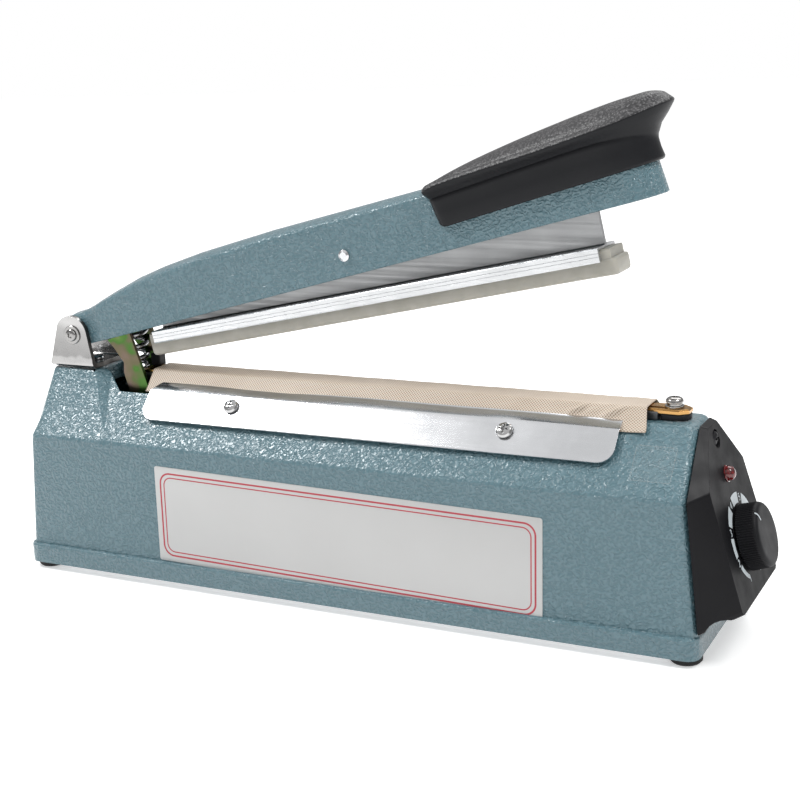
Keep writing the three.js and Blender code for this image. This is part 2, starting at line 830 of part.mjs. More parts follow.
function makeBracket() {
  const earTop = pinHeight + earRadius;
  const half = bracketWidth / 2;
  const inner = half - bracketSheet;
  const section = rounded(points(
    [-half, bracketBottom],
    [half, bracketBottom],
    [half, earTop + overrun],
    [inner, earTop + overrun],
    [inner, bracketBottom + bracketSheet],
    [-inner, bracketBottom + bracketSheet],
    [-inner, earTop + overrun],
    [-half, earTop + overrun],
  ), [bracketBend, bracketBend, 0, 0, bracketBend * 0.3, bracketBend * 0.3, 0, 0]);
  const folded = alongX(section, pinPlace - earRear, pinPlace + earFront);
  const ear = points(
    [pinPlace - earRear, bracketBottom - overrun],
    [pinPlace + earFront, bracketBottom - overrun],
    [pinPlace + earFront, bracketBottom + bracketSheet],
    [pinPlace + earWaist, pinHeight - earWaistDrop],
  );
  const arcStart = 12;
  const arcEnd = 150;
  for (let step = 0; step <= smallSteps; step += 1) {
    const angle = arcStart + (arcEnd - arcStart) * step / smallSteps;
    ear.push(new THREE.Vector2(
      pinPlace - earShift + earRadius * cos(angle),
      pinHeight + earRadius * sin(angle),
    ));
  }
  ear.push(new THREE.Vector2(pinPlace - earRear, bracketBottom + bracketSheet));
  let body = solid(folded).intersect(solid(acrossY(ear, bracketWidth + overrun)));
  const pin = new THREE.Vector3(pinPlace, -bracketWidth, pinHeight);
  body = body.subtract(solid(rod(pinRadius + slipGap, pin, pin.clone().setY(bracketWidth))));
  for (const x of bracketScrewPlaces()) {
    const low = new THREE.Vector3(x, 0, bracketBottom - overrun);
    const high = new THREE.Vector3(x, 0, bracketBottom + overrun);
    body = body.subtract(solid(rod(bracketScrewRadius + slipGap, low, high)));
  }
  return shell(body);
}

function addBracketScrews() {
  bracketScrewPlaces().forEach((x, index) => {
    const reach = bracketScrewLength + bracketSheet;
    const head = screw(bracketScrewHead, bracketScrewRadius, bracketScrewRadius, reach - seatGap);
    const seat = new THREE.Vector3(x, 0, bracketBottom + bracketSheet + seatGap);
    add(`bracket_screw_${index + 1}`, aim(head, upright, seat), steel);
  });
}

function headedPin(radius, headRadius, headHeight, span) {
  const profile = [
    [0, -span / 2 - headHeight],
    [headRadius * 0.6, -span / 2 - headHeight],
    [headRadius, -span / 2 - headHeight * 0.4],
    [headRadius, -span / 2],
    [radius, -span / 2],
    [radius, span / 2],
    [headRadius, span / 2],
    [headRadius, span / 2 + headHeight * 0.4],
    [headRadius * 0.6, span / 2 + headHeight],
    [0, span / 2 + headHeight],
  ];
  return turned(profile, roundSteps * 2 / 3);
}

// The arm's profile along it: stations as shares of its length, rises as shares of its rise
const armStationShares = [0.0488, 0.0927, 0.142, 0.194, 0.264, 0.402, 0.512, 0.675, 0.838, 0.96];
const armRiseShares = [0.55, 0.66, 0.807, 0.898, 0.966, 1, 0.983, 0.955, 0.93, 0.92];
const noseShares = [[0.45, 0.893], [0.8, 0.6], [0.95, 0.31], [1, 0.1]];
const barrelShares = [[-1, 0.35], [-0.82, 0.62], [-0.45, 0.9], [0, 1], [0.6, 1]];

function armStations(grow) {
  const noseLength = armLength * 0.04;
  const barrelRise = earRadius + grow;
  const stations = barrelShares.map(([alongShare, heightShare]) => ({
    u: alongShare * (armRear + grow),
    half: armNeckWidth / 2,
    low: -armDrop * Math.min(1, heightShare * 1.05) - grow,
    high: barrelRise * heightShare,
    crown: armCrown * 0.4,
  }));
  stations.push({
    u: armNeckLength,
    half: armNeckWidth / 2,
    low: -armDrop - grow,
    high: armRise * armRiseShares[0] * 0.93 + grow,
    crown: armCrown * 0.6,
  });
  armStationShares.forEach((share, index) => {
    stations.push({
      u: Math.max(share * armLength, armNeckLength + armFlare),
      half: armWidth / 2 + grow,
      low: -armDrop - grow,
      high: armRise * armRiseShares[index] + grow,
      crown: armCrown,
    });
  });
  for (const [alongShare, widthShare] of noseShares) {
    stations.push({
      u: armLength - noseLength * (1 - alongShare) + grow,
      half: (armWidth / 2) * widthShare + grow,
      low: -armDrop - grow,
      high: armRise * armRiseShares.at(-1) * (1 - 0.1 * alongShare ** 4) + grow,
      crown: armCrown * widthShare,
    });
  }
  return stations;
}

function armOutline({ half, low, high, crown }) {
  const round = Math.min(armEdgeRound, half / 2);
  const side = [];
  for (let step = 0; step <= cornerSteps; step += 1) {
    const angle = Math.PI / 2 * 0.8 * step / cornerSteps;
    side.push([half - round + round * Math.cos(angle), high - round + round * Math.sin(angle)]);
  }
  const [edge, edgeRise] = side.at(-1);
  for (const share of [0.6, 0.25]) {
    side.push([edge * share, edgeRise + (high + crown - edgeRise) * (1 - share ** 2)]);
  }
  const mirrored = side.map(([y, v]) => [-y, v]).reverse();
  return points([-half, low], [half, low], ...side, [0, high + crown], ...mirrored);
}

function armLoft(stations) {
  return loft(stations.map(armOutline), (point, row) => (
    new THREE.Vector3(stations[row].u, point.x, point.y)
  ));
}

function armCeiling(along) {
  const u = along / armLength;
  const next = armStationShares.findIndex((share) => share > u);
  const from = armStationShares[next - 1];
  const mix = (u - from) / (armStationShares[next] - from);
  return armRise * THREE.MathUtils.lerp(armRiseShares[next - 1], armRiseShares[next], mix) - armTopWall;
}

function armCavity() {
  const neck = { half: armNeckWidth / 2 - armWall, low: -armDrop - overrun, crown: 0 };
  const stations = [
    { ...neck, u: barrelLength, high: earRadius - armTopWall },
    { ...neck, u: armNeckLength, high: armRise * armRiseShares[0] * 0.93 - armTopWall },
  ];
  armStationShares.forEach((share, index) => {
    stations.push({
      u: Math.max(share * armLength, armNeckLength + armFlare) + (index === 0 ? armWall : 0),
      half: armWidth / 2 - armWall,
      low: -armDrop - overrun,
      high: armRise * armRiseShares[index] - armTopWall,
      crown: armCrown * 0.6,
    });
  });
  stations.push({ ...stations.at(-1), u: armLength - wall, half: armWidth / 4 });
  return stations;
}

const gripScrewPlaces = [gripStart + gripScrewInset, gripStart + gripScrewInset + gripScrewSpacing];

function makeArm() {
  let body = solid(armLoft(armStations(0))).subtract(solid(armLoft(armCavity())));
  const pierce = (radius, u, v) => rod(
    radius,
    new THREE.Vector3(u, -armWidth, v),
    new THREE.Vector3(u, armWidth, v),
  );
  body = body.subtract(solid(pierce(pinRadius + slipGap, 0, 0)));
  body = body.subtract(solid(pierce(rivetRadius + slipGap, pivotPlace, pivotRise)));
  for (const u of gripScrewPlaces) {
    const low = new THREE.Vector3(u, 0, 0);
    body = body.subtract(solid(rod(gripScrewRadius + slipGap, low, low.clone().setZ(armRise + overrun))));
  }
  const boss = new THREE.Vector3(springPlace, 0, armCeiling(springPlace));
  const bossTop = boss.clone().setZ(boss.z + legScrewLength + seatGap);
  boss.setZ(boss.z - overrun);
  body = body.subtract(solid(rod(legScrewRadius + slipGap, boss, bossTop)));
  return shell(body);
}

// Leg bracket: two plates joined by a web under the arm's ceiling
const legTop = armCeiling(legRearStart) - 2 * seatGap;
function makeLeg() {
  const outline = points(
    [legRearStart, legTop],
    [legRearStart, -armDrop - seatGap],
    [legRearStart - legHorn, -armDrop - seatGap],
    [legRearStart, -armDrop - seatGap - legHornDrop],
    [legBulge, -legBulgeDrop],
    [legRearFoot, -legBulgeDrop - legHornDrop],
    [legRearFoot, -legLength],
    [legFrontFoot, -legLength],
    [legFrontStart, -armDrop],
    [legFrontStart, legTop],
  );
  const half = legWidth / 2;
  const section = rounded(points(
    [-half, -legLength],
    [-half + legSheet, -legLength],
    [-half + legSheet, legTop - legSheet],
    [half - legSheet, legTop - legSheet],
    [half - legSheet, -legLength],
    [half, -legLength],
    [half, legTop],
    [-half, legTop],
  ), [0, 0, legBend - legSheet, legBend - legSheet, 0, 0, legBend, legBend]);
  const folded = solid(alongX(section, 0, legFrontFoot + overrun));
  const plates = folded.intersect(solid(acrossY(outline, rimWidth)));
  const hole = rod(
    legScrewRadius + slipGap,
    new THREE.Vector3(springPlace, 0, 0),
    new THREE.Vector3(springPlace, 0, armRise),
  );
  return shell(plates.subtract(solid(hole)));
}

// Return spring: one unbroken helix of wire from the seat to the web of the leg bracket
const webUnder = legTop - legSheet - legScrewHeadHeight * 0.2;
const springTopCentre = armPoint(springPlace, webUnder);
const springTop = springTopCentre.y - springRadius * tan(openAngle) - seatGap;
const springPath = springTopCentre.x;
class Helix extends THREE.Curve {
  constructor(radius, bottom, top, turns) {
    super();
    Object.assign(this, { radius, bottom, top, turns });
  }

  getPoint(t, target = new THREE.Vector3()) {
    const angle = 2 * Math.PI * this.turns * t;
    const height = THREE.MathUtils.lerp(this.bottom, this.top, t);
    return target.set(this.radius * Math.cos(angle), this.radius * Math.sin(angle), height);
  }
}

function makeSpring() {
  const bottom = springSeatHeight + seatGap + springWire / 2;
  const top = springTop - springWire / 2;
  const turns = Math.round((top - bottom) / springPitch);
  const coil = new Helix(springRadius - springWire / 2, bottom, top, turns);
  const steps = turns * 8;
  const frames = Array.from({ length: steps + 1 }, (unused, step) => {
    const t = step / steps;
    const angle = 2 * Math.PI * turns * t;
    return { centre: coil.getPoint(t), outward: new THREE.Vector3(Math.cos(angle), Math.sin(angle), 0) };
  });
  const ring = disc(springWire / 2, 5);
  const geometry = loft(frames.map(() => ring), (point, row) => (
    frames[row].centre.clone()
      .addScaledVector(frames[row].outward, point.x)
      .addScaledVector(upright, -point.y)
  ));
  const pitch = (top - bottom) / turns;
  console.log(`return_spring: ${turns} curls, least gap ${(pitch - springWire).toFixed(2)} mm`);
  return geometry.translate(springPath, 0, 0);
}

// Pressure bar: a T extrusion with a groove for the silicone strip
function makePressureBar() {
  const half = barWidth / 2;
  const groove = siliconeWidth / 2 + seatGap;
  const section = points(
    [-half, -barBottom],
    [-groove, -barBottom],
    [-groove, -barTop - channelRoof],
    [groove, -barTop - channelRoof],
    [groove, -barBottom],
    [half, -barBottom],
    [half, -barTop],
    [webThickness / 2, -barTop],
    [webThickness / 2, webRise],
    [-webThickness / 2, webRise],
    [-webThickness / 2, -barTop],
    [-half, -barTop],
  );
  let body = solid(alongX(section, -barRear, barFront));
  const corner = acrossY(points(
    [-barRear - overrun, webRearRise],
    [-barRear + webRearTaper, webRise + seatGap],
    [-barRear - overrun, webRise + overrun],
  ), webThickness * 3);
  body = body.subtract(solid(corner));
  const hole = rod(
    rivetRadius + slipGap,
    new THREE.Vector3(0, -half, 0),
    new THREE.Vector3(0, half, 0),
  );
  return shell(body.subtract(solid(hole)));
}

function makeSilicone() {
  const height = siliconeBottom - barTop - channelRoof - seatGap;
  const section = rounded(rectangle(siliconeWidth, height), [siliconeRound, siliconeRound, 0, 0]);
  const middle = -siliconeBottom + height / 2;
  return alongX(section, -siliconeRear, siliconeFront).translate(0, 0, middle);
}

// Grip: rows of shares of its length, then of its height for skirt, ridge and crown, then of widths
const gripRowShares = [
  [0, 0.49, 0.515, 0.56, 0.84, 1],
  [0.022, 0.37, 0.519, 0.62, 0.9, 1],
  [0.037, 0.15, 0.523, 0.65, 0.93, 1],
  [0.061, 0, 0.527, 0.685, 0.96, 1],
  [0.15, 0.011, 0.549, 0.74, 0.99, 1],
  [0.248, 0.019, 0.572, 0.784, 1, 1],
  [0.372, 0.042, 0.595, 0.845, 1, 1],
  [0.565, 0.061, 0.621, 0.947, 1, 1],
  [0.693, 0.076, 0.625, 0.996, 1, 1],
  [0.781, 0.087, 0.625, 1, 1, 1],
  [0.833, 0.095, 0.625, 0.992, 0.973, 0.927],
  [0.874, 0.104, 0.636, 0.981, 0.909, 0.736],
  [0.897, 0.115, 0.655, 0.97, 0.84, 0.475],
  [0.912, 0.125, 0.67, 0.958, 0.788, 0.25],
  [0.915, 0.511, 0.672, 0.957, 0.78, 0.3],
  [0.956, 0.652, 0.727, 0.924, 0.617, 0.25],
  [0.985, 0.74, 0.79, 0.875, 0.4, 0.2],
  [1, 0.79, 0.822, 0.837, 0.18, 0.12],
];

function makeGrip() {
  const skirtTopShare = (gripSkirtTop - gripLow) / gripHeight;
  const outlines = gripRowShares.map(([, low, ridge, crown, wide, skirt]) => {
    const ridgeHalf = gripWidth / 2 * wide;
    const skirtHalf = Math.min(gripSkirtWidth / 2 * skirt, ridgeHalf * 0.96);
    const step = Math.max(low + (ridge - low) * 0.05, Math.min(skirtTopShare, ridge - (ridge - low) * 0.1));
    const dome = [0.9, 0.7, 0.4].map((share) => [
      ridgeHalf * share,
      ridge + (crown - ridge) * (1 - share ** 2.4),
    ]);
    const rows = [
      [-skirtHalf, low],
      [skirtHalf, low],
      [skirtHalf, step],
      [ridgeHalf, ridge],
      ...dome,
      [0, crown],
      ...dome.map(([y, v]) => [-y, v]).reverse(),
      [-ridgeHalf, ridge],
      [-skirtHalf, step],
    ];
    return points(...rows.map(([y, v]) => [y, gripLow + gripHeight * v]));
  });
  const outer = loft(outlines, (point, row) => {
    const share = gripRowShares[row][0];
    const fade = Math.max(0, 1 - share * 5);
    const bow = gripBow * fade * (1 - (2 * point.x / gripWidth) ** 2);
    return new THREE.Vector3(gripStart + gripLength * share - bow, point.x, point.y);
  });
  let body = solid(outer).subtract(solid(armLoft(armStations(seatGap))));
  for (const u of gripScrewPlaces) {
    const low = new THREE.Vector3(u, 0, 0);
    const high = low.clone().setZ(armCeiling(u) + gripScrewLength + seatGap);
    body = body.subtract(solid(rod(gripScrewRadius + slipGap, low, high)));
  }
  return shell(body);
}

function addArm() {
  const arm = new THREE.Group();
  arm.position.set(pinPlace, 0, pinHeight);
  arm.rotation.y = THREE.MathUtils.degToRad(-openAngle);
  assembly.add(arm);
  add('arm', makeArm(), paint, arm);
  add('leg_bracket', makeLeg(), zinc, arm);
  const legSeat = new THREE.Vector3(springPlace, 0, legTop - legSheet - legScrewHeadHeight * 0.2);
  const legReach = legScrewLength + legSheet;
  const legHead = screw(legScrewHead, legScrewHeadHeight, legScrewRadius, legReach);
  add('leg_screw', aim(legHead, downward, legSeat), steel, arm);
  add('grip', makeGrip(), black, arm);
  gripScrewPlaces.forEach((u, index) => {
    const seat = new THREE.Vector3(u, 0, armCeiling(u) - seatGap);
    const head = screw(gripScrewHead, gripScrewHeadHeight, gripScrewRadius, gripScrewLength);
    add(`grip_screw_${index + 1}`, aim(head, downward, seat), steel, arm);
  });
  const rivet = headedPin(rivetRadius, rivetHead, rivetHeadHeight, armWidth + 2 * seatGap);
  add('pivot_rivet', aim(rivet, sideways, new THREE.Vector3(pivotPlace, 0, pivotRise)), steel, arm);
  const bar = new THREE.Group();
  bar.position.set(pivotPlace, 0, pivotRise);
  bar.rotation.y = THREE.MathUtils.degToRad(barTilt);
  arm.add(bar);
  add('pressure_bar', makePressureBar(), aluminium, bar);
  add('silicone_strip', makeSilicone(), silicone, bar);
}

// Sealing bed, from the cloth's top surface down
const clothUnder = bedTop - clothThickness;
const ribbonBase = clothUnder - ribbonGap - ribbonThickness;
const stripTop = ribbonBase - ribbonGap;
const stripBase = stripTop - stripThickness;
const bedBarTop = stripBase - seatGap;
const bedBarBase = topHeight + seatGap;
const clothFrontEnd = frontEnd - clothFront;
const clothRearEnd = clothFrontEnd - clothLength;
const bedFrontEnd = clothFrontEnd + bedBarReach;
const bedRearEnd = clothRearEnd - tongueLength;
const terminalRear = clothFrontEnd - terminalThickness * 2.5;
const terminalFront = terminalRear + terminalLength;
const terminalScrewPlace = terminalFront - terminalScrewInset;
const rearPlateFront = bedRearEnd + rearTerminalLength;

function addBed() {
  const bedScrewHoles = bedScrewPlaces.map((x) => rod(
    bedScrewRadius + slipGap,
    new THREE.Vector3(x, 0, bedBarBase - overrun),
    new THREE.Vector3(x, 0, bedBarBase + bedScrewLength + seatGap),
  ));
  const barHeight = bedBarTop - bedBarBase;
  const barSection = rounded(
    rectangle(bedBarWidth, barHeight),
    [0, 0, barHeight * 0.25, barHeight * 0.25],
    cornerSteps - 1,
  );
  const middle = bedBarBase + barHeight / 2;
  let bar = solid(alongX(barSection, bedRearEnd, bedFrontEnd).translate(0, 0, middle));
  for (const hole of bedScrewHoles) {
    bar = bar.subtract(solid(hole));
  }
  add('bed_bar', shell(bar), steel);
  bedScrewPlaces.forEach((x, index) => {
    const seat = new THREE.Vector3(x, 0, topHeight - wall - seatGap);
    const reach = wall + 2 * seatGap + bedScrewLength;
    const head = screw(bedScrewHead, bedScrewHeadHeight, bedScrewRadius, reach);
    add(`bed_screw_${index + 1}`, aim(head, downward, seat), steel);
  });
  const stripLength = terminalRear - rearPlateFront - 2 * seatGap;
  const stripMiddle = (terminalRear + rearPlateFront) / 2;
  const strip = block(stripLength, bedBarWidth, stripThickness, stripMiddle, 0, stripBase);
  add('insulating_strip', strip, white);
  const ribbonRear = bedRearEnd + seatGap;
  const ribbonFront = terminalFront - ribbonEndInset;
  const ribbonMiddle = (ribbonRear + ribbonFront) / 2;
  const ribbonLength = ribbonFront - ribbonRear;
  const ribbonPlan = rectangle(ribbonLength, ribbonWidth).map((point) => point.setX(point.x + ribbonMiddle));
  const ribbonHole = disc(
    terminalScrewRadius + slipGap * 0.5,
    smallSteps,
    new THREE.Vector2(terminalScrewPlace, 0),
  );
  const ribbon = raised(ribbonPlan, ribbonThickness, [ribbonHole]).translate(0, 0, ribbonBase);
  add('heating_ribbon', ribbon, steel);
  add('ptfe_cloth', makeCloth(), cloth);
}

function makeCloth() {
  const near = shoulder(-1);
  const hem = (topHeight - clothHem) / cos(45);
  const outer = [
    new THREE.Vector2(-clothTopWidth / 2, bedTop),
    near(seatGap + clothThickness, 0),
    near(seatGap + clothThickness, hem),
  ];
  const inner = [
    near(seatGap, hem),
    near(seatGap, clothThickness * 0.4),
    new THREE.Vector2(-clothTopWidth / 2 + clothThickness * 0.6, clothUnder),
  ];
  const left = [...outer, ...inner];
  const right = left.map((point) => new THREE.Vector2(-point.x, point.y)).reverse();
  return alongX([...left, ...right], clothRearEnd, clothFrontEnd);
}

// Side plates on the slanted sides, thinned towards the lip and rounded at the lower corners
const sideFrontEnd = frontEnd - sideFront;
function makeSidePlate(side) {
  const at = shoulder(side);
  const foot = (topHeight - sideBottom) / cos(45);
  const outerOffset = sideStandoff + sideSheet;
  const top = topRound * 0.2;
  const profile = [
    at(sideStandoff, -top),
    at(sideStandoff, foot + overrun),
    at(outerOffset, foot + overrun),
    at(outerOffset, sideLip - top),
    at(sideStandoff + sideLipThin, -top),
  ];
  const outline = side < 0 ? profile : profile.reverse();
  const sheet = alongX(outline, sideFrontEnd - sideLength, sideFrontEnd);
  const trim = rounded(points(
    [sideFrontEnd - sideLength, sideBottom],
    [sideFrontEnd, sideBottom],
    [sideFrontEnd, bedTop],
    [sideFrontEnd - sideLength, bedTop],
  ), [sideCorner, sideCorner, 0, 0], cornerSteps * 2);
  let body = solid(sheet).intersect(solid(acrossY(trim, rimWidth)));
  for (const { side: screwSide, direction, origin } of sideScrewPlaces) {
    if (screwSide === side) {
      const outside = origin.clone().addScaledVector(direction, overrun);
      const inward = origin.clone().addScaledVector(direction, -overrun);
      body = body.subtract(solid(rod(sideScrewRadius + slipGap, inward, outside)));
    }
  }
  return shell(body);
}

function addSidePlates() {
  add('side_plate_near', makeSidePlate(-1), steel);
  add('side_plate_far', makeSidePlate(1), steel);
  sideScrewPlaces.forEach(({ direction, origin }, index) => {
    const seat = origin.clone().addScaledVector(direction, sideStandoff + sideSheet + seatGap * 0.5);
    const head = crossScrew(sideScrewHead, sideScrewHeadHeight, sideScrewRadius, sideScrewLength);
    add(`side_screw_${index + 1}`, aim(head, direction, seat), chrome);
  });
}

function addTerminals() {
  const blockStart = bedFrontEnd + seatGap * 2;
  const blockSize = terminalFront - blockStart + seatGap * 2;
  const blockPlan = rounded(
    rectangle(blockSize, terminalWidth),
    [terminalTip * 0.3, terminalTip, terminalTip, terminalTip * 0.3],
  ).map((point) => point.setX(point.x + blockStart + blockSize / 2));
  const plateBase = stripBase + terminalThickness - frontPlateThickness;
  const blockHeight = plateBase - seatGap - bedBarBase;
  const blockHole = disc(terminalScrewRadius + slipGap, smallSteps, new THREE.Vector2(terminalScrewPlace, 0));
  const base = raised(blockPlan, blockHeight, [blockHole]).translate(0, 0, bedBarBase);
  add('front_terminal_block', base, black);
  const platePlan = rounded(
    rectangle(terminalLength, terminalWidth),
    [0, terminalTip, terminalTip, 0],
    cornerSteps + 1,
  ).map((point) => point.setX(point.x + (terminalRear + terminalFront) / 2));
  const plateHole = disc(terminalScrewRadius + slipGap, smallSteps, new THREE.Vector2(terminalScrewPlace, 0));
  const plate = raised(platePlan, frontPlateThickness, [plateHole]).translate(0, 0, plateBase);
  const step = block(
    terminalLength, terminalWidth + overrun, frontPlateThickness,
    blockStart - terminalLength / 2, 0, stripBase - frontPlateThickness,
  );
  add('front_terminal_plate', shell(solid(plate).subtract(solid(step))), brass);
  const washerBase = ribbonBase + ribbonThickness + seatGap;
  const washer = solid(rod(
    washerRadius,
    new THREE.Vector3(terminalScrewPlace, 0, washerBase),
    new THREE.Vector3(terminalScrewPlace, 0, washerBase + washerHeight),
    roundSteps * 2 / 3,
  ));
  const reach = washerBase - bedBarBase - seatGap + washerHeight;
  const head = crossScrew(terminalHead, terminalHeadHeight, terminalScrewRadius, reach);
  aim(head, upright, new THREE.Vector3(terminalScrewPlace, 0, washerBase + washerHeight * 0.9));
  add('front_terminal_screw', shell(solid(head).add(washer)), chrome);
  const rearMiddle = bedRearEnd + rearTerminalLength / 2;
  const rearPlate = block(
    rearTerminalLength, terminalWidth, terminalThickness,
    rearMiddle, 0, stripBase,
  );
  add('rear_terminal_plate', rearPlate, brass);
  const rearBlock = block(
    rearBlockLength, terminalWidth, rearBlockHeight,
    bedRearEnd + rearBlockInset + rearBlockLength / 2, 0, ribbonBase + ribbonThickness + ribbonGap,
  );
  add('rear_terminal_block', rearBlock, black);
}

// End panel: a hollow hood from the housing's front section to a smaller tilted face
const panelNormal = new THREE.Vector3(cos(panelTilt), 0, sin(panelTilt));
function panelOutline(rows) {
  return points(...rows.map(([half, height]) => [half, height]));
}

function makePanelLoft(inset, back, front) {
  const baseRows = panelOutline([
    [-bodyWidth / 2 + inset, panelBase + inset],
    [bodyWidth / 2 - inset, panelBase + inset],
    [bendWidth / 2 - inset, bendHeight - inset * 0.4],
    [panelCrestWidth / 2 - inset * 0.4, panelCrest - inset],
    [-panelCrestWidth / 2 + inset * 0.4, panelCrest - inset],
    [-bendWidth / 2 + inset, bendHeight - inset * 0.4],
  ]);
  const faceRows = panelOutline([
    [-panelHeelWidth / 2 + inset, panelHeel + inset],
    [panelHeelWidth / 2 - inset, panelHeel + inset],
    [panelBendWidth / 2 - inset, panelBendHeight - inset * 0.4],
    [panelTopWidth / 2 - inset * 0.4, panelTop - inset],
    [-panelTopWidth / 2 + inset * 0.4, panelTop - inset],
    [-panelBendWidth / 2 + inset, panelBendHeight - inset * 0.4],
  ]);
  const radii = [bodyCorner / 2, bodyCorner / 2, bendRound / 2, topRound / 2, topRound / 2, bendRound / 2];
  const rows = [
    rounded(baseRows, inset > 0 ? 0 : radii, cornerSteps - 1),
    rounded(faceRows, inset > 0 ? 0 : radii, cornerSteps - 1),
  ];
  return loft(rows, (point, row) => {
    const x = row === 0 ? frontFaceAt(point.y) + back : panelFaceAt(point.y) + front;
    return new THREE.Vector3(x, point.x, point.y);
  });
}

function onPanel(height, lift) {
  return new THREE.Vector3(panelFaceAt(height), 0, height).addScaledVector(panelNormal, lift);
}

const knobAxisPoint = onPanel(knobHeight, 0);
function makePanel() {
  let body = solid(makePanelLoft(0, seatGap, 0));
  body = body.subtract(solid(makePanelLoft(panelWall, -overrun, -panelWall)));
  const coveCentre = new THREE.Vector3(panelFaceAt(panelHeel) - panelCove * 0.75, 0, panelBase - panelCove * 0.15);
  const coveStart = coveCentre.clone().setY(-rimWidth);
  const cove = rod(panelCove, coveStart, coveStart.clone().setY(rimWidth), roundSteps);
  body = body.subtract(solid(cove));
  const screwSeat = panelScrewPlace.x + seatGap + panelScrewHeadHeight;
  const pillar = rod(
    panelRecess + panelWall / 2,
    new THREE.Vector3(panelScrewPlace.x + seatGap * 2, 0, panelScrewHeight),
    new THREE.Vector3(panelFaceAt(panelScrewHeight) - panelWall / 2, 0, panelScrewHeight),
  );
  body = body.add(solid(pillar).intersect(solid(makePanelLoft(0, seatGap, 0))));
  const holes = [rod(
    panelScrewRadius + slipGap,
    new THREE.Vector3(panelScrewPlace.x - overrun, 0, panelScrewHeight),
    new THREE.Vector3(screwSeat + overrun, 0, panelScrewHeight),
  )];
  holes.push(rod(
    panelRecess,
    new THREE.Vector3(panelFaceAt(panelScrewHeight) - panelRecessDepth, 0, panelScrewHeight),
    new THREE.Vector3(panelFaceAt(panelScrewHeight) + overrun, 0, panelScrewHeight),
    roundSteps,
  ));
  holes.push(rod(potNeck + slipGap, onPanel(knobHeight, -overrun), onPanel(knobHeight, overrun)));
  holes.push(rod(lampRadius + slipGap, onPanel(lampHeight, -overrun), onPanel(lampHeight, overrun)));
  for (const hole of holes) {
    body = body.subtract(solid(hole));
  }
  return shell(body);
}

function makeKnob() {
  const outline = [];
  for (let rib = 0; rib < knobRibs; rib += 1) {
    for (const [share, dip] of [[0, 0], [0.5, knobRibDepth]]) {
      const angle = 2 * Math.PI * (rib + share) / knobRibs;
      const radius = knobRadius - dip;
      outline.push(new THREE.Vector2(radius * Math.cos(angle), radius * Math.sin(angle)));
    }
  }
  const smooth = outline.map((point) => point.clone().setLength(knobRadius - knobBevel));
  const rows = [outline, outline, smooth];
  const heights = [0, knobLength - knobBevel, knobLength];
  const ribbed = loft(rows, (point, row) => new THREE.Vector3(point.x, point.y, heights[row]));
  const socket = rod(
    shaftRadius + slipGap,
    new THREE.Vector3(0, 0, -overrun),
    new THREE.Vector3(0, 0, shaftInKnob),
    smallSteps,
  );
  const body = shell(solid(ribbed).subtract(solid(socket)));
  const turn = new THREE.Quaternion().setFromUnitVectors(upright, panelNormal);
  const seat = onPanel(knobHeight, slipGap + seatGap);
  return body.applyQuaternion(turn).translate(seat.x, seat.y, seat.z);
}

function addPanelPieces() {
  add('end_panel', makePanel(), black);
  const seat = new THREE.Vector3(
    panelFaceAt(panelScrewHeight) - panelRecessDepth + seatGap * 0.5, 0, panelScrewHeight,
  );
  const shank = seat.x - panelScrewEnd.x;
  const screwHead = crossScrew(panelScrewHead, panelScrewHeadHeight, panelScrewRadius, shank);
  add('panel_screw', aim(screwHead, lengthwise, seat), dark);
  add('timer_knob', makeKnob(), black);
  const potFront = -panelWall - seatGap;
  const potBody = turned([
    [shaftRadius + slipGap, potFront - potLength],
    [potRadius, potFront - potLength],
    [potRadius, potFront],
    [potNeck, potFront],
    [potNeck, 0],
    [shaftRadius + slipGap, 0],
    [shaftRadius + slipGap, potFront - potLength],
  ]);
  add('potentiometer', aim(potBody, panelNormal, knobAxisPoint), steel);
  const shaftStart = onPanel(knobHeight, potFront - potLength / 2);
  const shaftEnd = onPanel(knobHeight, shaftInKnob - seatGap);
  add('timer_shaft', rod(shaftRadius, shaftStart, shaftEnd), aluminium);
  const lamp = turned([
    [0, -lampBody],
    [lampRadius, -lampBody],
    [lampRadius, seatGap],
    [lampFlange, seatGap],
    [lampFlange, seatGap * 2],
    [lampRadius * 0.95, lampRadius * 0.5],
    [lampRadius * 0.6, lampRadius * 0.85],
    [0, lampRadius],
  ], roundSteps * 2 / 3);
  add('indicator_lamp', aim(lamp, panelNormal, onPanel(lampHeight, 0)), red);
}

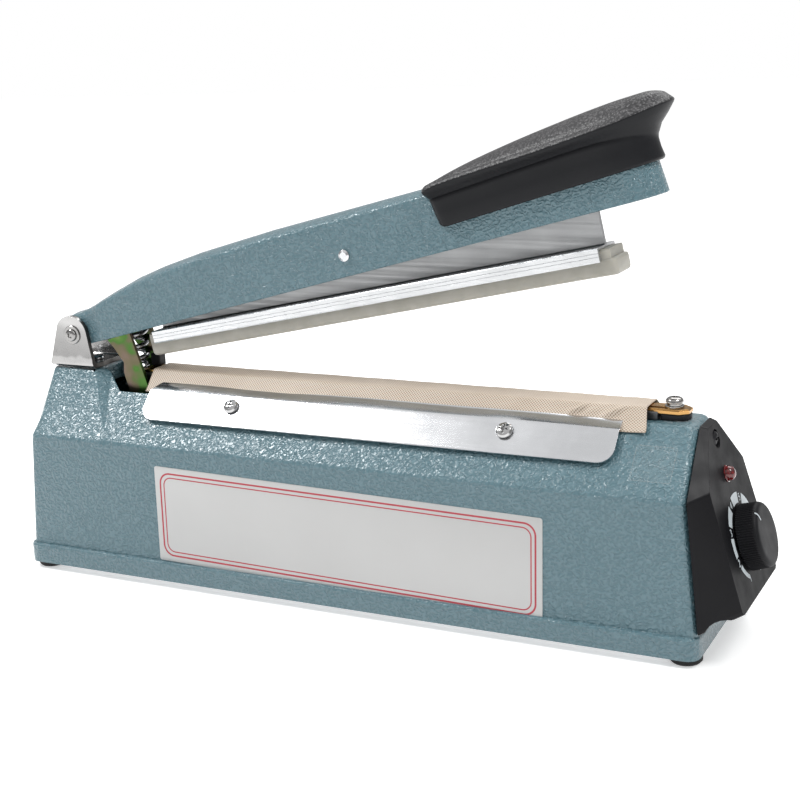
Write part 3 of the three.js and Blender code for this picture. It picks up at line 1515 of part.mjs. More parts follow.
// Transformer on the bottom plate: core with two windows, winding round the middle limb, strap
const plateTop = rimBase + plateThickness;
const coreBase = plateTop + seatGap;
function addTransformer() {
  const coreTop = coreBase + coreHeight;
  const middle = (coreBase + coreTop) / 2;
  const windowLength = (coreLength - limbWidth - 2 * yokeWidth) / 2;
  const windowHeight = coreHeight - 2 * yokeWidth;
  const offset = (limbWidth + windowLength) / 2;
  let core = solid(block(coreLength, coreStack, coreHeight, transformerPlace, 0, coreBase));
  for (const x of [transformerPlace - offset, transformerPlace + offset]) {
    core = core.subtract(solid(block(
      windowLength, coreStack + overrun, windowHeight,
      x, 0, coreBase + yokeWidth,
    )));
  }
  add('transformer_core', shell(core), steel);
  const build = Math.min(windingBuild, windowLength - 2 * slipGap);
  const windingOuter = rounded(
    rectangle(limbWidth + 2 * build, coreStack + 2 * build),
    build * 0.8,
  );
  const windingHole = rectangle(limbWidth + 2 * slipGap, coreStack + 2 * slipGap);
  const winding = raised(windingOuter, windowHeight - 2 * slipGap, [windingHole]);
  winding.translate(transformerPlace, 0, middle - windowHeight / 2 + slipGap);
  add('transformer_winding', winding, copper);
  const half = coreLength / 2 + seatGap;
  const strapTop = coreTop + seatGap;
  const strap = acrossY(points(
    [-half - strapSheet - strapFoot, coreBase],
    [-half, coreBase],
    [-half, strapTop],
    [half, strapTop],
    [half, coreBase],
    [half + strapSheet + strapFoot, coreBase],
    [half + strapSheet + strapFoot, coreBase + strapSheet],
    [half + strapSheet, coreBase + strapSheet],
    [half + strapSheet, strapTop + strapSheet],
    [-half - strapSheet, strapTop + strapSheet],
    [-half - strapSheet, coreBase + strapSheet],
    [-half - strapSheet - strapFoot, coreBase + strapSheet],
  ), strapWidth).translate(transformerPlace, 0, 0);
  add('transformer_strap', strap, steel);
}

function addBoard() {
  const plan = rectangle(boardLength, boardWidth).map((point) => point.add(boardCentre));
  add('timer_board', raised(plan, boardThickness).translate(0, 0, boardBottom), board);
  const top = boardBottom + boardThickness + seatGap;
  const relayPlace = boardCentre.x - boardLength / 4;
  add('relay', block(relayLength, relayWidth, relayHeight, relayPlace, 0, top), blue);
  const low = new THREE.Vector3(boardCentre.x + boardLength / 4, boardWidth / 5, top);
  const capacitor = rod(capacitorRadius, low, low.clone().setZ(top + capacitorHeight), roundSteps * 2 / 3);
  add('capacitor', capacitor, black);
}

// Microswitch behind the leg's foot, with a lever that the leg pushes as the arm closes
const leverPivot = new THREE.Vector3(rearEnd + leverPivotPlace, -leverOuter + leverWidth / 2, leverPivotHeight);
function addSwitch() {
  const inner = -leverOuter + leverWidth / 2 + switchWidth / 2;
  const outer = inner - switchWidth;
  const middle = (inner + outer) / 2;
  const bodyEnd = leverPivot.x + leverEye;
  let body = solid(block(
    switchLength, switchWidth, switchHeight,
    bodyEnd - switchLength / 2, middle, switchBase,
  ));
  const lugLow = switchBase + switchHeight;
  const lugs = block(
    2 * leverEye, switchWidth, leverPivot.z + leverEye - lugLow + seatGap,
    leverPivot.x, middle, lugLow - seatGap,
  );
  const lugGap = block(
    2 * leverEye + overrun, leverWidth + 2 * slipGap, leverEye * 3 + overrun,
    leverPivot.x, middle, leverPivot.z - leverEye - slipGap,
  );
  const axle = rod(
    leverPinRadius,
    leverPivot.clone().setY(inner - switchWidth * 0.1),
    leverPivot.clone().setY(outer + switchWidth * 0.1),
  );
  body = body.add(solid(lugs).subtract(solid(lugGap))).add(solid(axle));
  add('microswitch', shell(body), black);
  const eye = disc(leverEye - leverPinRadius * 0.2, roundSteps * 2 / 3);
  const hole = disc(leverPinRadius + slipGap, smallSteps);
  const ring = solid(acrossY(eye, leverWidth, [hole]));
  const blade = solid(block(
    leverThickness, leverWidth, leverLength - leverEye * 0.85,
    0, 0, leverEye * 0.85,
  ));
  const lever = shell(ring.add(blade));
  lever.rotateY(THREE.MathUtils.degToRad(leverLean)).translate(leverPivot.x, leverPivot.y, leverPivot.z);
  add('switch_lever', lever, steel);
  const sheetPlace = inner + seatGap;
  const bracketEnd = bodyEnd - leverEye * 2;
  const section = points(
    [sheetPlace, coreBase],
    [sheetPlace + switchBracketFoot, coreBase],
    [sheetPlace + switchBracketFoot, coreBase + switchBracketSheet],
    [sheetPlace + switchBracketSheet, coreBase + switchBracketSheet],
    [sheetPlace + switchBracketSheet, switchBase + switchHeight],
    [sheetPlace, switchBase + switchHeight],
  );
  add('switch_bracket', alongX(section, bodyEnd - switchLength, bracketEnd), steel);
}

add('housing', makeHousing(), paint);
add('bottom_plate', makeBottomPlate(), steel);
addFeet();
add('cord_gland', makeGland(), rubber);
add('hinge_bracket', makeBracket(), chrome);
addBracketScrews();
const hingePin = headedPin(pinRadius, pinHeadRadius, pinHeadHeight, bracketWidth + seatGap);
add('hinge_pin', aim(hingePin, sideways, new THREE.Vector3(pinPlace, 0, pinHeight)), chrome);
addArm();
add('return_spring', makeSpring(), chrome);
addBed();
addSidePlates();
addTerminals();
addPanelPieces();
addTransformer();
addBoard();
addSwitch();

// The frame's origin is under the middle of the whole
const whole = new THREE.Box3().setFromObject(assembly);
assembly.position.x = -(whole.min.x + whole.max.x) / 2;

const object = new THREE.Group();
object.add(assembly);
object.updateMatrixWorld(true);

export default object;
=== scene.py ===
import json
import math

import bmesh
import bpy
import numpy as np
from mathutils import Matrix, Vector


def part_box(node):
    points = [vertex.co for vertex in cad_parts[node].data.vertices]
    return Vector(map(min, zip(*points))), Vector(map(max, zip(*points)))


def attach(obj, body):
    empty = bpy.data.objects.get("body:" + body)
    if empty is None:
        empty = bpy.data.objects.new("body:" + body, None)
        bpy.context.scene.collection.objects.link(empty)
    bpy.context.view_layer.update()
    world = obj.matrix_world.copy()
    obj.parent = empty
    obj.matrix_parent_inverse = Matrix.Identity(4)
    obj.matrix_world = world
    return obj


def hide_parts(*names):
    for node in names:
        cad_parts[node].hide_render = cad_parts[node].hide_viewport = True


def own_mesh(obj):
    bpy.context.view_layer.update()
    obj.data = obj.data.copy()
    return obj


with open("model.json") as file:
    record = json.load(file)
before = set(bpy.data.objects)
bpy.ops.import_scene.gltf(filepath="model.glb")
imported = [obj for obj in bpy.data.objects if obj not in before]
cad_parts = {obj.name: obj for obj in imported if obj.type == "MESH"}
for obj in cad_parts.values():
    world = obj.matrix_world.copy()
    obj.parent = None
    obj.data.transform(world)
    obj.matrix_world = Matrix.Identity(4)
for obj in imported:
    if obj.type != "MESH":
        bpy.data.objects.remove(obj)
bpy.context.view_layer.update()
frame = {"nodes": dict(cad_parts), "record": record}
nodes = frame["nodes"]
record = frame["record"]
body_of_node = {
    node: body
    for body, members in record["behaviour"]["bodies"].items()
    for node in members
}
slot_of_node = {row["node"]: row["material_slot"] for row in record["subparts"]}

mm = 0.001

# Places, in millimetres

def box_of(node):
    """The lowest and highest corner of a solid."""
    return (np.array(corner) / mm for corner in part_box(node))


housing_low, housing_high = box_of("housing")
middle = (housing_low[0] + housing_high[0]) / 2
pin_place = np.array([middle - 131, 0, 101.3])
arm_turn = math.radians(14.7)
bar_turn = math.radians(11.6)


def places(origin, first, second, third):
    """Turns three measures into a place: origin + u * first + v * second + w * third."""
    first, second, third = (np.asarray(way, float) for way in (first, second, third))

    def place(u, v, w):
        u, v, w = np.broadcast_arrays(*(np.asarray(a, float) for a in (u, v, w)))
        return origin + u[..., None] * first + v[..., None] * second + w[..., None] * third

    return place


def rising(x, start, length):
    """0 up to the start, 1 from a length further on, straight between; a negative length runs the other way."""
    return np.clip((x - start) / length, 0, 1)


def quarter(steps):
    """Angles from 0 to a right angle."""
    return np.linspace(0, math.pi / 2, steps)


def polar(radius, turn):
    """The flat point at a radius and an angle."""
    return np.stack([radius * np.cos(turn), radius * np.sin(turn)], -1)


def ahead_of(line):
    """The unit direction of a line at each of its points."""
    ahead = np.gradient(line, axis=0)
    return ahead / np.linalg.norm(ahead, axis=1, keepdims=True)


def left_of(line):
    """The unit direction square to a flat line, to its left."""
    ahead = ahead_of(line)
    return np.stack([-ahead[:, 1], ahead[:, 0]], -1)


def in_plane(origin, turn):
    """Places given along a line turned up by an angle from +X, across it, and square to it."""
    cosine, sine = math.cos(turn), math.sin(turn)
    return places(origin, (cosine, 0, sine), (0, 1, 0), (-sine, 0, cosine))


on_arm = in_plane(pin_place, arm_turn)
on_bar = in_plane(on_arm(142.1, 0, 2.5), bar_turn)
arm_along = np.array([math.cos(arm_turn), 0, math.sin(arm_turn)])
arm_square = np.array([-math.sin(arm_turn), 0, math.cos(arm_turn)])


def placed(name, data):
    """An object for a mesh, a lamp or a camera, in the scene."""
    thing = bpy.data.objects.new(name, data)
    bpy.context.scene.collection.objects.link(thing)
    return thing


# Camera at the photograph's angle

def set_camera(azimuth, elevation, roll, place, lens):
    """The line of sight is turned by azimuth about up, dipped by elevation, and rolled about itself."""
    a, e, r = (math.radians(v) for v in (azimuth, elevation, roll))
    ahead = Vector((-math.sin(a) * math.cos(e), math.cos(a) * math.cos(e), -math.sin(e)))
    right = Vector((math.cos(a), math.sin(a), 0))
    up = right.cross(ahead)
    rolled_right = math.cos(r) * right + math.sin(r) * up
    rolled_up = -math.sin(r) * right + math.cos(r) * up
    data = bpy.data.cameras.new("camera")
    data.lens = lens
    data.clip_start = 0.02
    data.clip_end = 20
    camera = placed("camera", data)
    turn = Matrix((rolled_right, rolled_up, -ahead)).transposed()
    camera.matrix_world = Matrix.Translation(Vector(place) * mm) @ turn.to_4x4()
    bpy.context.scene.camera = camera


set_camera(27.44, 14.62, -2.83, (middle + 277.986, -494.886, 226.216), 65.57)


# Finishes

class Nodes:
    """Short ways to add and join the nodes of a tree."""

    def __init__(self, tree):
        self.tree = tree

    def set(self, node, values):
        for socket, value in values.items():
            node.inputs[socket].default_value = value

    def join(self, source, node, socket):
        self.tree.links.new(source, node.inputs[socket])

    def add(self, kind, values=None, joins=None, **settings):
        node = self.tree.nodes.new(kind)
        for key, value in settings.items():
            setattr(node, key, value)
        self.set(node, values or {})
        for socket, source in (joins or {}).items():
            self.join(source, node, socket)
        return node

    def ramp(self, source, stops):
        """Colours or greys at the given shares of a value."""
        node = self.add("ShaderNodeValToRGB", joins={"Fac": source})
        band = node.color_ramp
        while len(band.elements) < len(stops):
            band.elements.new(0.5)
        for element, (share, colour) in zip(band.elements, stops):
            element.position = share
            element.color = (*colour, 1) if hasattr(colour, "__len__") else (colour, colour, colour, 1)
        return node.outputs["Color"]

    def sum(self, kind, a, b):
        """a and b added, multiplied and so on; either may be a number."""
        node = self.tree.nodes.new("ShaderNodeMath")
        node.operation = kind
        for socket, value in zip(node.inputs, (a, b)):
            if isinstance(value, (int, float)):
                socket.default_value = value
            else:
                self.tree.links.new(value, socket)
        return node.outputs["Value"]


class Finish(Nodes):
    """A material with its shader: patterns, and what they do to it."""

    def __init__(self, name, colour, roughness, metallic=0.0, **more):
        self.material = bpy.data.materials.new(name)
        self.material.use_nodes = True
        super().__init__(self.material.node_tree)
        self.shader = self.tree.nodes["Principled BSDF"]
        self.set(self.shader, {"Base Color": (*colour, 1), "Roughness": roughness, "Metallic": metallic})
        self.set(self.shader, {socket.replace("_", " "): value for socket, value in more.items()})
        self.place = self.add("ShaderNodeTexCoord").outputs["Object"]
        self.normal = None

    def stretched(self, factors):
        """The place, scaled along each axis, so that a pattern runs long one way."""
        return self.add("ShaderNodeMapping", {"Scale": factors}, {"Vector": self.place}).outputs["Vector"]

    def noise(self, size, detail=2.0, source=None):
        """Soft noise with patches about as wide as size, in millimetres."""
        values = {"Scale": 1 / (size * mm), "Detail": detail}
        return self.add("ShaderNodeTexNoise", values, {"Vector": source or self.place}).outputs["Fac"]

    def cells(self, size, source=None, smooth=1.0):
        """Distance from the middle of cells about as wide as size, in millimetres."""
        values, joins = {"Scale": 1 / (size * mm), "Smoothness": smooth}, {"Vector": source or self.place}
        return self.add("ShaderNodeTexVoronoi", values, joins, feature="SMOOTH_F1").outputs["Distance"]

    def bump(self, height, depth):
        """The surface raised by height times depth, in millimetres."""
        joins = {"Height": height}
        if self.normal:
            joins["Normal"] = self.normal
        self.normal = self.add("ShaderNodeBump", {"Distance": depth * mm}, joins).outputs["Normal"]
        self.join(self.normal, self.shader, "Normal")
        self.join(self.normal, self.shader, "Coat Normal")

    def grain(self, size, depth, detail=2.0):
        """Noise of a size and a depth, in millimetres."""
        self.bump(self.noise(size, detail), depth)

    def paint(self, source, stops, socket="Base Color"):
        """Colours, or the greys of another socket, at the given shares of a value."""
        self.join(self.ramp(source, stops), self.shader, socket)

    def haze(self, size, low, high, detail=3.0):
        """Roughness between two values, in patches of a size in millimetres."""
        self.paint(self.noise(size, detail), [(0.35, low), (0.7, high)], "Roughness")


def hammertone():
    """Paint that dries in small soft domes, like orange peel: they do most of it, the hue only drifts."""
    f = Finish("hammertone_paint", (0.115, 0.21, 0.24), 0.34, Coat_Weight=0.75, Coat_Roughness=0.08)
    shift = f.add("ShaderNodeVectorMath", {"Scale": 0.0022}, {0: f.noise(2.2, 1.0)}, operation="SCALE")
    drift = f.add("ShaderNodeVectorMath", joins={0: f.stretched((0.8, 1.0, 1.0))}, operation="ADD")
    f.join(shift.outputs["Vector"], drift, 1)
    cells = f.cells(1.1, drift.outputs["Vector"], smooth=0.9)
    drops = f.noise(0.95, 0.0, drift.outputs["Vector"])
    f.bump(f.ramp(drops, [(0.34, 0.0), (0.45, 0.30), (0.56, 0.80), (0.66, 1.0)]), 0.24)
    f.bump(f.ramp(cells, [(0.0, 1.0), (0.6, 0.0)]), 0.12)
    f.grain(7, 0.08, 1.0)
    f.paint(drops, [(0.35, (0.080, 0.165, 0.198)), (0.65, (0.104, 0.200, 0.236))])
    f.paint(drops, [(0.35, 0.50), (0.65, 0.36)], "Roughness")
    return f.material


def brushed(name, colour, roughness, along, streak=0.25, depth=0.004, line=0.5):
    """Metal with fine lines along one axis, and a faint drift of tone."""
    f = Finish(name, colour, roughness, 1.0)
    factors = [1.0, 1.0, 1.0]
    factors[along] = 0.02
    lines = f.noise(line, 3.0, f.stretched(factors))
    f.bump(lines, depth)
    f.paint(lines, [(0.3, roughness * (1 - streak)), (0.7, roughness * (1 + streak))], "Roughness")
    tones = [tuple(c * share for c in colour) for share in (0.93, 1.05)]
    f.paint(f.noise(14, 3.0), [(0.35, tones[0]), (0.7, tones[1])])
    return f.material


def plated(name, colour, roughness):
    """Bright plating with a faint haze."""
    f = Finish(name, colour, roughness, 1.0)
    f.haze(4, roughness * 0.8, roughness * 1.6)
    f.grain(2.5, 0.008)
    return f.material


def yellow_zinc():
    """Passivated zinc: brown-grey with patches of green and of pink."""
    f = Finish("yellow_zinc", (0.16, 0.15, 0.08), 0.34, 1.0)
    f.paint(f.noise(12, 2.0), [
        (0.34, (0.20, 0.13, 0.13)), (0.44, (0.16, 0.13, 0.09)), (0.52, (0.13, 0.12, 0.07)),
        (0.58, (0.07, 0.16, 0.04)), (0.66, (0.10, 0.19, 0.05)), (0.74, (0.22, 0.20, 0.14)),
    ])
    f.grain(0.9, 0.012)
    return f.material


def moulded(name, colour, roughness, grain, depth, gloss=0.35):
    """Moulded plastic with a fine grain and a slight drift of its gloss."""
    f = Finish(name, colour, roughness, Specular_IOR_Level=gloss)
    f.grain(grain, depth)
    f.haze(9, roughness * 0.9, roughness * 1.15)
    return f.material


def stippled():
    """The grip's leather-like top: small raised dots, their middles painted paler as a painted highlight."""
    f = Finish("stippled_plastic", (0.030, 0.030, 0.032), 0.40, Specular_IOR_Level=0.6)
    cells = f.cells(0.80)
    f.bump(f.ramp(cells, [(0.10, 1.0), (0.55, 0.0)]), 0.12)
    # painted highlight: the middles of the dots are painted paler than the gaps between them
    f.paint(cells, [(0.12, (0.105, 0.102, 0.106)), (0.5, (0.018, 0.018, 0.020))])
    return f.material


def silicone_rubber():
    """Cream rubber that lets a little light in."""
    f = Finish("silicone_rubber", (0.56, 0.53, 0.47), 0.45, Subsurface_Weight=0.3,
               Subsurface_Scale=0.003, Subsurface_Radius=(1.0, 0.9, 0.7))
    f.paint(f.noise(7, 3.0), [(0.3, (0.40, 0.385, 0.335)), (0.7, (0.47, 0.455, 0.405))])
    f.grain(1.0, 0.02)
    return f.material


def glass_cloth():
    """Plain weave: its height is sin(x) * sin(y) over the pitch, after the piece's own UV map in metres."""
    f = Finish("coated_glass_cloth", (0.60, 0.47, 0.34), 0.42)
    uv = f.add("ShaderNodeUVMap").outputs["UV"]
    parts = f.add("ShaderNodeSeparateXYZ", joins={"Vector": uv}).outputs
    turns = 2 * math.pi / (1.15 * mm)
    waves = [f.sum("SINE", f.sum("MULTIPLY", parts[axis], turns), 0.0) for axis in ("X", "Y")]
    height = f.sum("ADD", f.sum("MULTIPLY", f.sum("MULTIPLY", *waves), 0.5), 0.5)
    f.bump(height, 0.07)
    f.grain(11, 0.25)
    tone = f.ramp(height, [(0.22, (0.30, 0.22, 0.153)), (0.60, (0.72, 0.63, 0.535))])
    patches = f.ramp(f.noise(26, 2.0), [(0.35, (0.88, 0.86, 0.83)), (0.7, (1.0, 1.0, 1.0))])
    sides = {"A": tone, "B": patches}
    mix = f.add("ShaderNodeMix", {"Factor": 1.0}, sides, data_type="RGBA", blend_type="MULTIPLY")
    f.join(mix.outputs["Result"], f.shader, "Base Color")
    return f.material


def bracket_finish():
    """Plating with painted highlights: mid-grey, painted paler towards its crown and its foot, with slow
    ripples.
    """
    f = Finish("bracket_plating_painted_sheen", (0.36, 0.36, 0.36), 0.2, 1.0)
    foot, rise, waver = 86.6, 22.9, 0.24
    # painted highlights: the plating is painted paler at its crown and at its fold near the foot, darker
    # between
    tones = ((0.20, 0.42), (0.30, 0.40), (0.34, 0.28), (0.60, 0.31), (0.85, 0.36), (1.0, 0.50))
    height = f.add("ShaderNodeSeparateXYZ", joins={"Vector": f.place}).outputs["Z"]
    share = f.sum("MULTIPLY", f.sum("SUBTRACT", height, foot * mm), 1 / (rise * mm))
    share = f.sum("ADD", share, f.sum("MULTIPLY", f.noise(8, 2.0), waver))
    f.paint(share, [(place, (c, 0.99 * c, 0.98 * c)) for place, c in tones])
    f.haze(4, 0.15, 0.28)
    f.grain(6, 0.10)
    return f.material


def lamp_lens():
    """Dark red plastic with a faint pattern of cells."""
    f = Finish("red_lens", (0.10, 0.004, 0.005), 0.10, Coat_Weight=0.6, Coat_Roughness=0.05)
    f.bump(f.cells(0.9), 0.04)
    f.paint(f.cells(0.9), [(0.2, (0.20, 0.008, 0.010)), (0.6, (0.06, 0.002, 0.003))])
    return f.material


def clear_film(name, alpha):
    f = Finish(name, (0.75, 0.82, 0.82), 0.14, Alpha=alpha)
    f.grain(3, 0.02)
    return f.material


def printed(name, colour):
    """Print with a little less colour in places."""
    f = Finish(name, colour, 0.5)
    f.grain(0.8, 0.004, 1.0)
    f.paint(f.noise(2, 3.0), [(0.3, tuple(c * 0.9 for c in colour)), (0.7, colour)])
    return f.material


def label_plate():
    """Pale matt metal."""
    f = Finish("label_plate", (0.58, 0.58, 0.575), 0.42, 0.3)
    f.paint(f.noise(40, 3.0), [(0.3, (0.545, 0.545, 0.54)), (0.7, (0.57, 0.57, 0.565))])
    f.grain(0.6, 0.006)
    return f.material


looks = {
    "paint": hammertone(),
    "zinc": yellow_zinc(),
    "chrome": plated("chrome_plate", (0.66, 0.67, 0.68), 0.12),
    "steel": brushed("bright_steel", (0.70, 0.71, 0.73), 0.16, 0, 0.2, 0.002),
    "aluminium": brushed("mill_aluminium", (0.68, 0.69, 0.70), 0.30, 0, 0.3, 0.006),
    "brass": plated("brass_plate", (0.52, 0.30, 0.11), 0.22),
    "dark_screw": plated("blackened_steel", (0.035, 0.035, 0.038), 0.35),
    "black_plastic": moulded("black_plastic", (0.0095, 0.010, 0.012), 0.40, 0.9, 0.02, 0.22),
    "silicone": silicone_rubber(),
    "cloth": glass_cloth(),
    "rubber": moulded("black_rubber", (0.012, 0.012, 0.013), 0.6, 0.7, 0.03),
    "red_lens": lamp_lens(),
    "board": moulded("circuit_board", (0.03, 0.15, 0.05), 0.4, 2.0, 0.01),
    "relay_case": moulded("relay_case", (0.02, 0.07, 0.25), 0.35, 1.5, 0.01),
    "copper": plated("copper_wire", (0.6, 0.2, 0.06), 0.3),
    "insulation": moulded("glass_tape", (0.65, 0.66, 0.62), 0.7, 0.6, 0.03),
}
stipple_look = stippled()
panel_face_look = moulded("panel_face", (0.0065, 0.0065, 0.0078), 0.48, 0.5, 0.02, 0.08)
panel_look = moulded("panel_plastic", (0.0070, 0.0070, 0.0085), 0.38, 0.5, 0.02, 0.16)
knob_look = moulded("knob_plastic", (0.009, 0.0092, 0.011), 0.5, 0.4, 0.02, 0.16)
white_print = printed("white_print", (0.58, 0.64, 0.67))
red_print = printed("red_print", (0.50, 0.06, 0.08))
film_look = clear_film("clear_film", 0.02)
film_edge = clear_film("film_edge", 0.13)
plate_look = label_plate()
bracket_look = bracket_finish()
sheared_edge = plated("sheared_edge", (0.10, 0.095, 0.09), 0.35)
# painted shade: the chrome spring is given a darker grey for the shade it stands in
shaded_spring_look = plated("spring_wire_painted_shade", (0.34, 0.34, 0.35), 0.18)
end_look = plated("bar_end", (0.13, 0.135, 0.14), 0.4)
screw_look = plated("screw_plating", (0.50, 0.50, 0.50), 0.10)
terminal_look = plated("terminal_plating", (0.36, 0.35, 0.34), 0.12)
pin_look = plated("pin_plating", (0.34, 0.335, 0.33), 0.16)
# painted shade: the web and its fillet, the same aluminium as the flange, get a darker copy of it for the shade
# under the arm
shaded_web_look = brushed("bar_web", (0.36, 0.365, 0.37), 0.42, 0, 0.3, 0.02, 1.2)


# Making meshes

def quads(rows, columns, closed_rows=False, closed_columns=False):
    """Four-cornered faces of a grid of points numbered row by row."""
    last_row = rows if closed_rows else rows - 1
    last_column = columns if closed_columns else columns - 1
    r, c = np.meshgrid(np.arange(last_row), np.arange(last_column), indexing="ij")
    r2, c2 = (r + 1) % rows, (c + 1) % columns
    corners = [r * columns + c, r * columns + c2, r2 * columns + c2, r2 * columns + c]
    return np.stack(corners, axis=-1).reshape(-1, 4)


def read(items, field, width=1, kind=float):
    """One field of all items, as an array with a row each."""
    values = np.zeros(len(items) * width, kind)
    items.foreach_get(field, values)
    return values.reshape(-1, width) if width > 1 else values


def merged(b):
    """Doubled points merged, and faces without any area taken out."""
    bmesh.ops.remove_doubles(b, verts=b.verts, dist=0.002 * mm)
    bmesh.ops.dissolve_degenerate(b, edges=b.edges, dist=0.001 * mm)


def flattened(b):
    """Faces that lie in one plane joined."""
    bmesh.ops.dissolve_limit(
        b, angle_limit=math.radians(0.5), verts=b.verts, edges=b.edges, delimit={"NORMAL"}
    )


def turned_out(b):
    """Faces turned to look outwards."""
    bmesh.ops.recalc_face_normals(b, faces=b.faces)


def reworked(mesh, *steps):
    """The mesh put through the steps, one after the other."""
    b = bmesh.new()
    b.from_mesh(mesh)
    for step in steps:
        step(b)
    b.to_mesh(mesh)
    b.free()


def smoothed(mesh, angle):
    """Smooth everywhere except where faces meet at more than the angle."""
    mesh.polygons.foreach_set("use_smooth", [True] * len(mesh.polygons))
    mesh.set_sharp_from_angle(angle=math.radians(angle))


def finish_mesh(name, points, faces, material, angle=40.0, closed=True, uv=None):
    """A mesh object from points in millimetres, its doubles merged and its faces turned outwards."""
    mesh = bpy.data.meshes.new(name)
    mesh.from_pydata((np.asarray(points, float).reshape(-1, 3) * mm).tolist(), [], [list(f) for f in faces])
    if uv is not None:
        layer = mesh.uv_layers.new(name="UVMap")
        corner = read(mesh.loops, "vertex_index", kind=np.int32)
        layer.data.foreach_set("uv", np.asarray(uv, np.float32)[corner].ravel())
    reworked(mesh, merged, *([turned_out] if closed else []))
    smoothed(mesh, angle)
    mesh.materials.append(material)
    return placed(name, mesh)


def surface(name, grid, material, angle=40.0, caps=True):
    """A skin over a grid of points: rows are closed outlines, and caps close the end rows by a face each."""
    rows, columns = grid.shape[:2]
    faces = [tuple(q) for q in quads(rows, columns, False, True)]
    if caps:
        faces.append(tuple(range(columns)))
        faces.append(tuple(range((rows - 1) * columns, rows * columns)))
    return finish_mesh(name, grid, faces, material, angle)


def ride(piece, body, slot_name, *replaced):
    """The piece put on its body, in the place of the solids named; slot_name is not used."""
    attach(piece, body)
    if replaced:
        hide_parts(*replaced)
    return piece


def edge_ends(mesh):
    """The two end points of every edge, in millimetres."""
    points = read(mesh.vertices, "co", 3) / mm
    ends = read(mesh.edges, "vertices", 2, np.int32)
    return points[ends[:, 0]], points[ends[:, 1]]


def broken_edges(piece, width, method):
    """The piece's picked edges broken by a width in millimetres."""
    bevel = piece.modifiers.new("edge", "BEVEL")
    bevel.width = width * mm
    bevel.segments = 2
    bevel.limit_method = method
    return bevel


def dressed(node, material=None, angle=35.0, edge=0.0, reshape=None, cut=None, crisp=None, soft=None,
            rim=None, share_of=None, clamped=True):
    """A copy of the solid with its triangles joined, smooth where faces meet under the angle, its edges broken.

    cut is a height at which its faces are divided first, and reshape moves its points. crisp and soft pick
    edges by their ends, kept or not kept as edges. rim is a second finish, for faces that look along +X.
    share_of says how much of the edge's width is broken, edge by edge; clamped keeps it from overlapping.
    """
    mesh = nodes[node].data.copy()
    mesh.name = node + "_skin"
    piece = placed(node + "_skin", mesh)

    def divided(b):
        if cut:
            whole = b.verts[:] + b.edges[:] + b.faces[:]
            bmesh.ops.bisect_plane(b, geom=whole, plane_co=(0, 0, cut * mm), plane_no=(0, 0, 1))

    reworked(mesh, merged, flattened, divided)
    if reshape:
        points = reshape(read(mesh.vertices, "co", 3) / mm)
        mesh.vertices.foreach_set("co", (points * mm).ravel())
        reworked(mesh, merged, flattened)
        mesh.update()
    smoothed(mesh, angle)
    sharp = read(mesh.edges, "use_edge_sharp", kind=bool)
    if crisp:
        sharp |= crisp(*edge_ends(mesh))
    if soft:
        sharp &= ~soft(*edge_ends(mesh))
    mesh.edges.foreach_set("use_edge_sharp", sharp)
    mesh.materials.clear()
    mesh.materials.append(material or looks[slot_of_node[node]])
    if rim:
        normals = read(mesh.polygons, "normal", 3)
        mesh.materials.append(rim)
        mesh.polygons.foreach_set("material_index", (normals[:, 0] > 0.7).astype(np.int32))
    if edge:
        share = sharp.astype(np.float32)
        if share_of:
            share *= share_of(*edge_ends(mesh))
        mesh.attributes.new("bevel_weight_edge", "FLOAT", "EDGE").data.foreach_set("value", share)
        broken_edges(piece, edge, "WEIGHT").use_clamp_overlap = clamped
    piece.modifiers.new("even", "WEIGHTED_NORMAL").keep_sharp = True
    return ride(piece, body_of_node[node], slot_of_node[node], node)


def eased(x, xs, ys):
    """A smooth curve through given points that never overshoots them.

    Between two points a cubic with the ends' tangents. A tangent is the harmonic mean of the slopes on
    either side, or 0 where they run opposite ways.
    """
    x, xs, ys = (np.asarray(a, float) for a in (x, xs, ys))
    step = np.diff(xs)
    slope = np.diff(ys) / step
    before, after = slope[:-1], slope[1:]
    inner = np.where(before * after > 0, 2 * before * after / (before + after + 1e-12), 0)
    tangent = np.concatenate([[slope[0]], inner, [slope[-1]]])
    i = np.clip(np.searchsorted(xs, x, side="right") - 1, 0, len(xs) - 2)
    h = step[i]
    t = np.clip((x - xs[i]) / h, 0, 1)
    start = (2 * t**3 - 3 * t**2 + 1) * ys[i] + (t**3 - 2 * t**2 + t) * h * tangent[i]
    end = (3 * t**2 - 2 * t**3) * ys[i + 1] + (t**3 - t**2) * h * tangent[i + 1]
    return start + end


def cut_by(piece, cutter):
    """piece with cutter's space taken out of it; the cutter is removed."""
    cut = piece.modifiers.new("cut", "BOOLEAN")
    cut.operation = "DIFFERENCE"
    cut.solver = "EXACT"
    cut.object = cutter
    bpy.context.view_layer.update()
    seen = piece.evaluated_get(bpy.context.evaluated_depsgraph_get())
    mesh = bpy.data.meshes.new_from_object(seen)
    piece.modifiers.clear()
    piece.data = mesh
    bpy.data.objects.remove(cutter)
    return piece


# Grip: outlines stacked from the skirt's foot to the crest, each with a rounded nose

def nosed_outline(half, rear, rear_round, nose_start, nose_end, bow):
    """Near half of a plan outline: bowed rear edge, rounded rear corner, straight side, elliptical nose."""
    across = np.linspace(0, 1, 7)[:-1]
    reach = half - rear_round
    back = np.stack([rear - bow * (1 - across**2), -reach * across], -1)
    a = quarter(7)
    corner = np.stack([rear + rear_round * (1 - np.cos(a)), -reach - rear_round * np.sin(a)], -1)
    along = np.linspace(rear + rear_round, nose_start, 42)[1:]
    side = np.stack([along, np.full_like(along, -half)], -1)
    a = quarter(22)[1:]
    nose = np.stack([nose_start + (nose_end - nose_start) * np.sin(a), -half * np.cos(a)], -1)
    return np.concatenate([back, corner, side, nose])


def nose_lean(u, v):
    """How far the arm's nose leans back above its lower edge."""
    share = rising(u, 245, 24)
    return 1.9 * share * share * (3 - 2 * share) * rising(v, -5.7, 23.0)


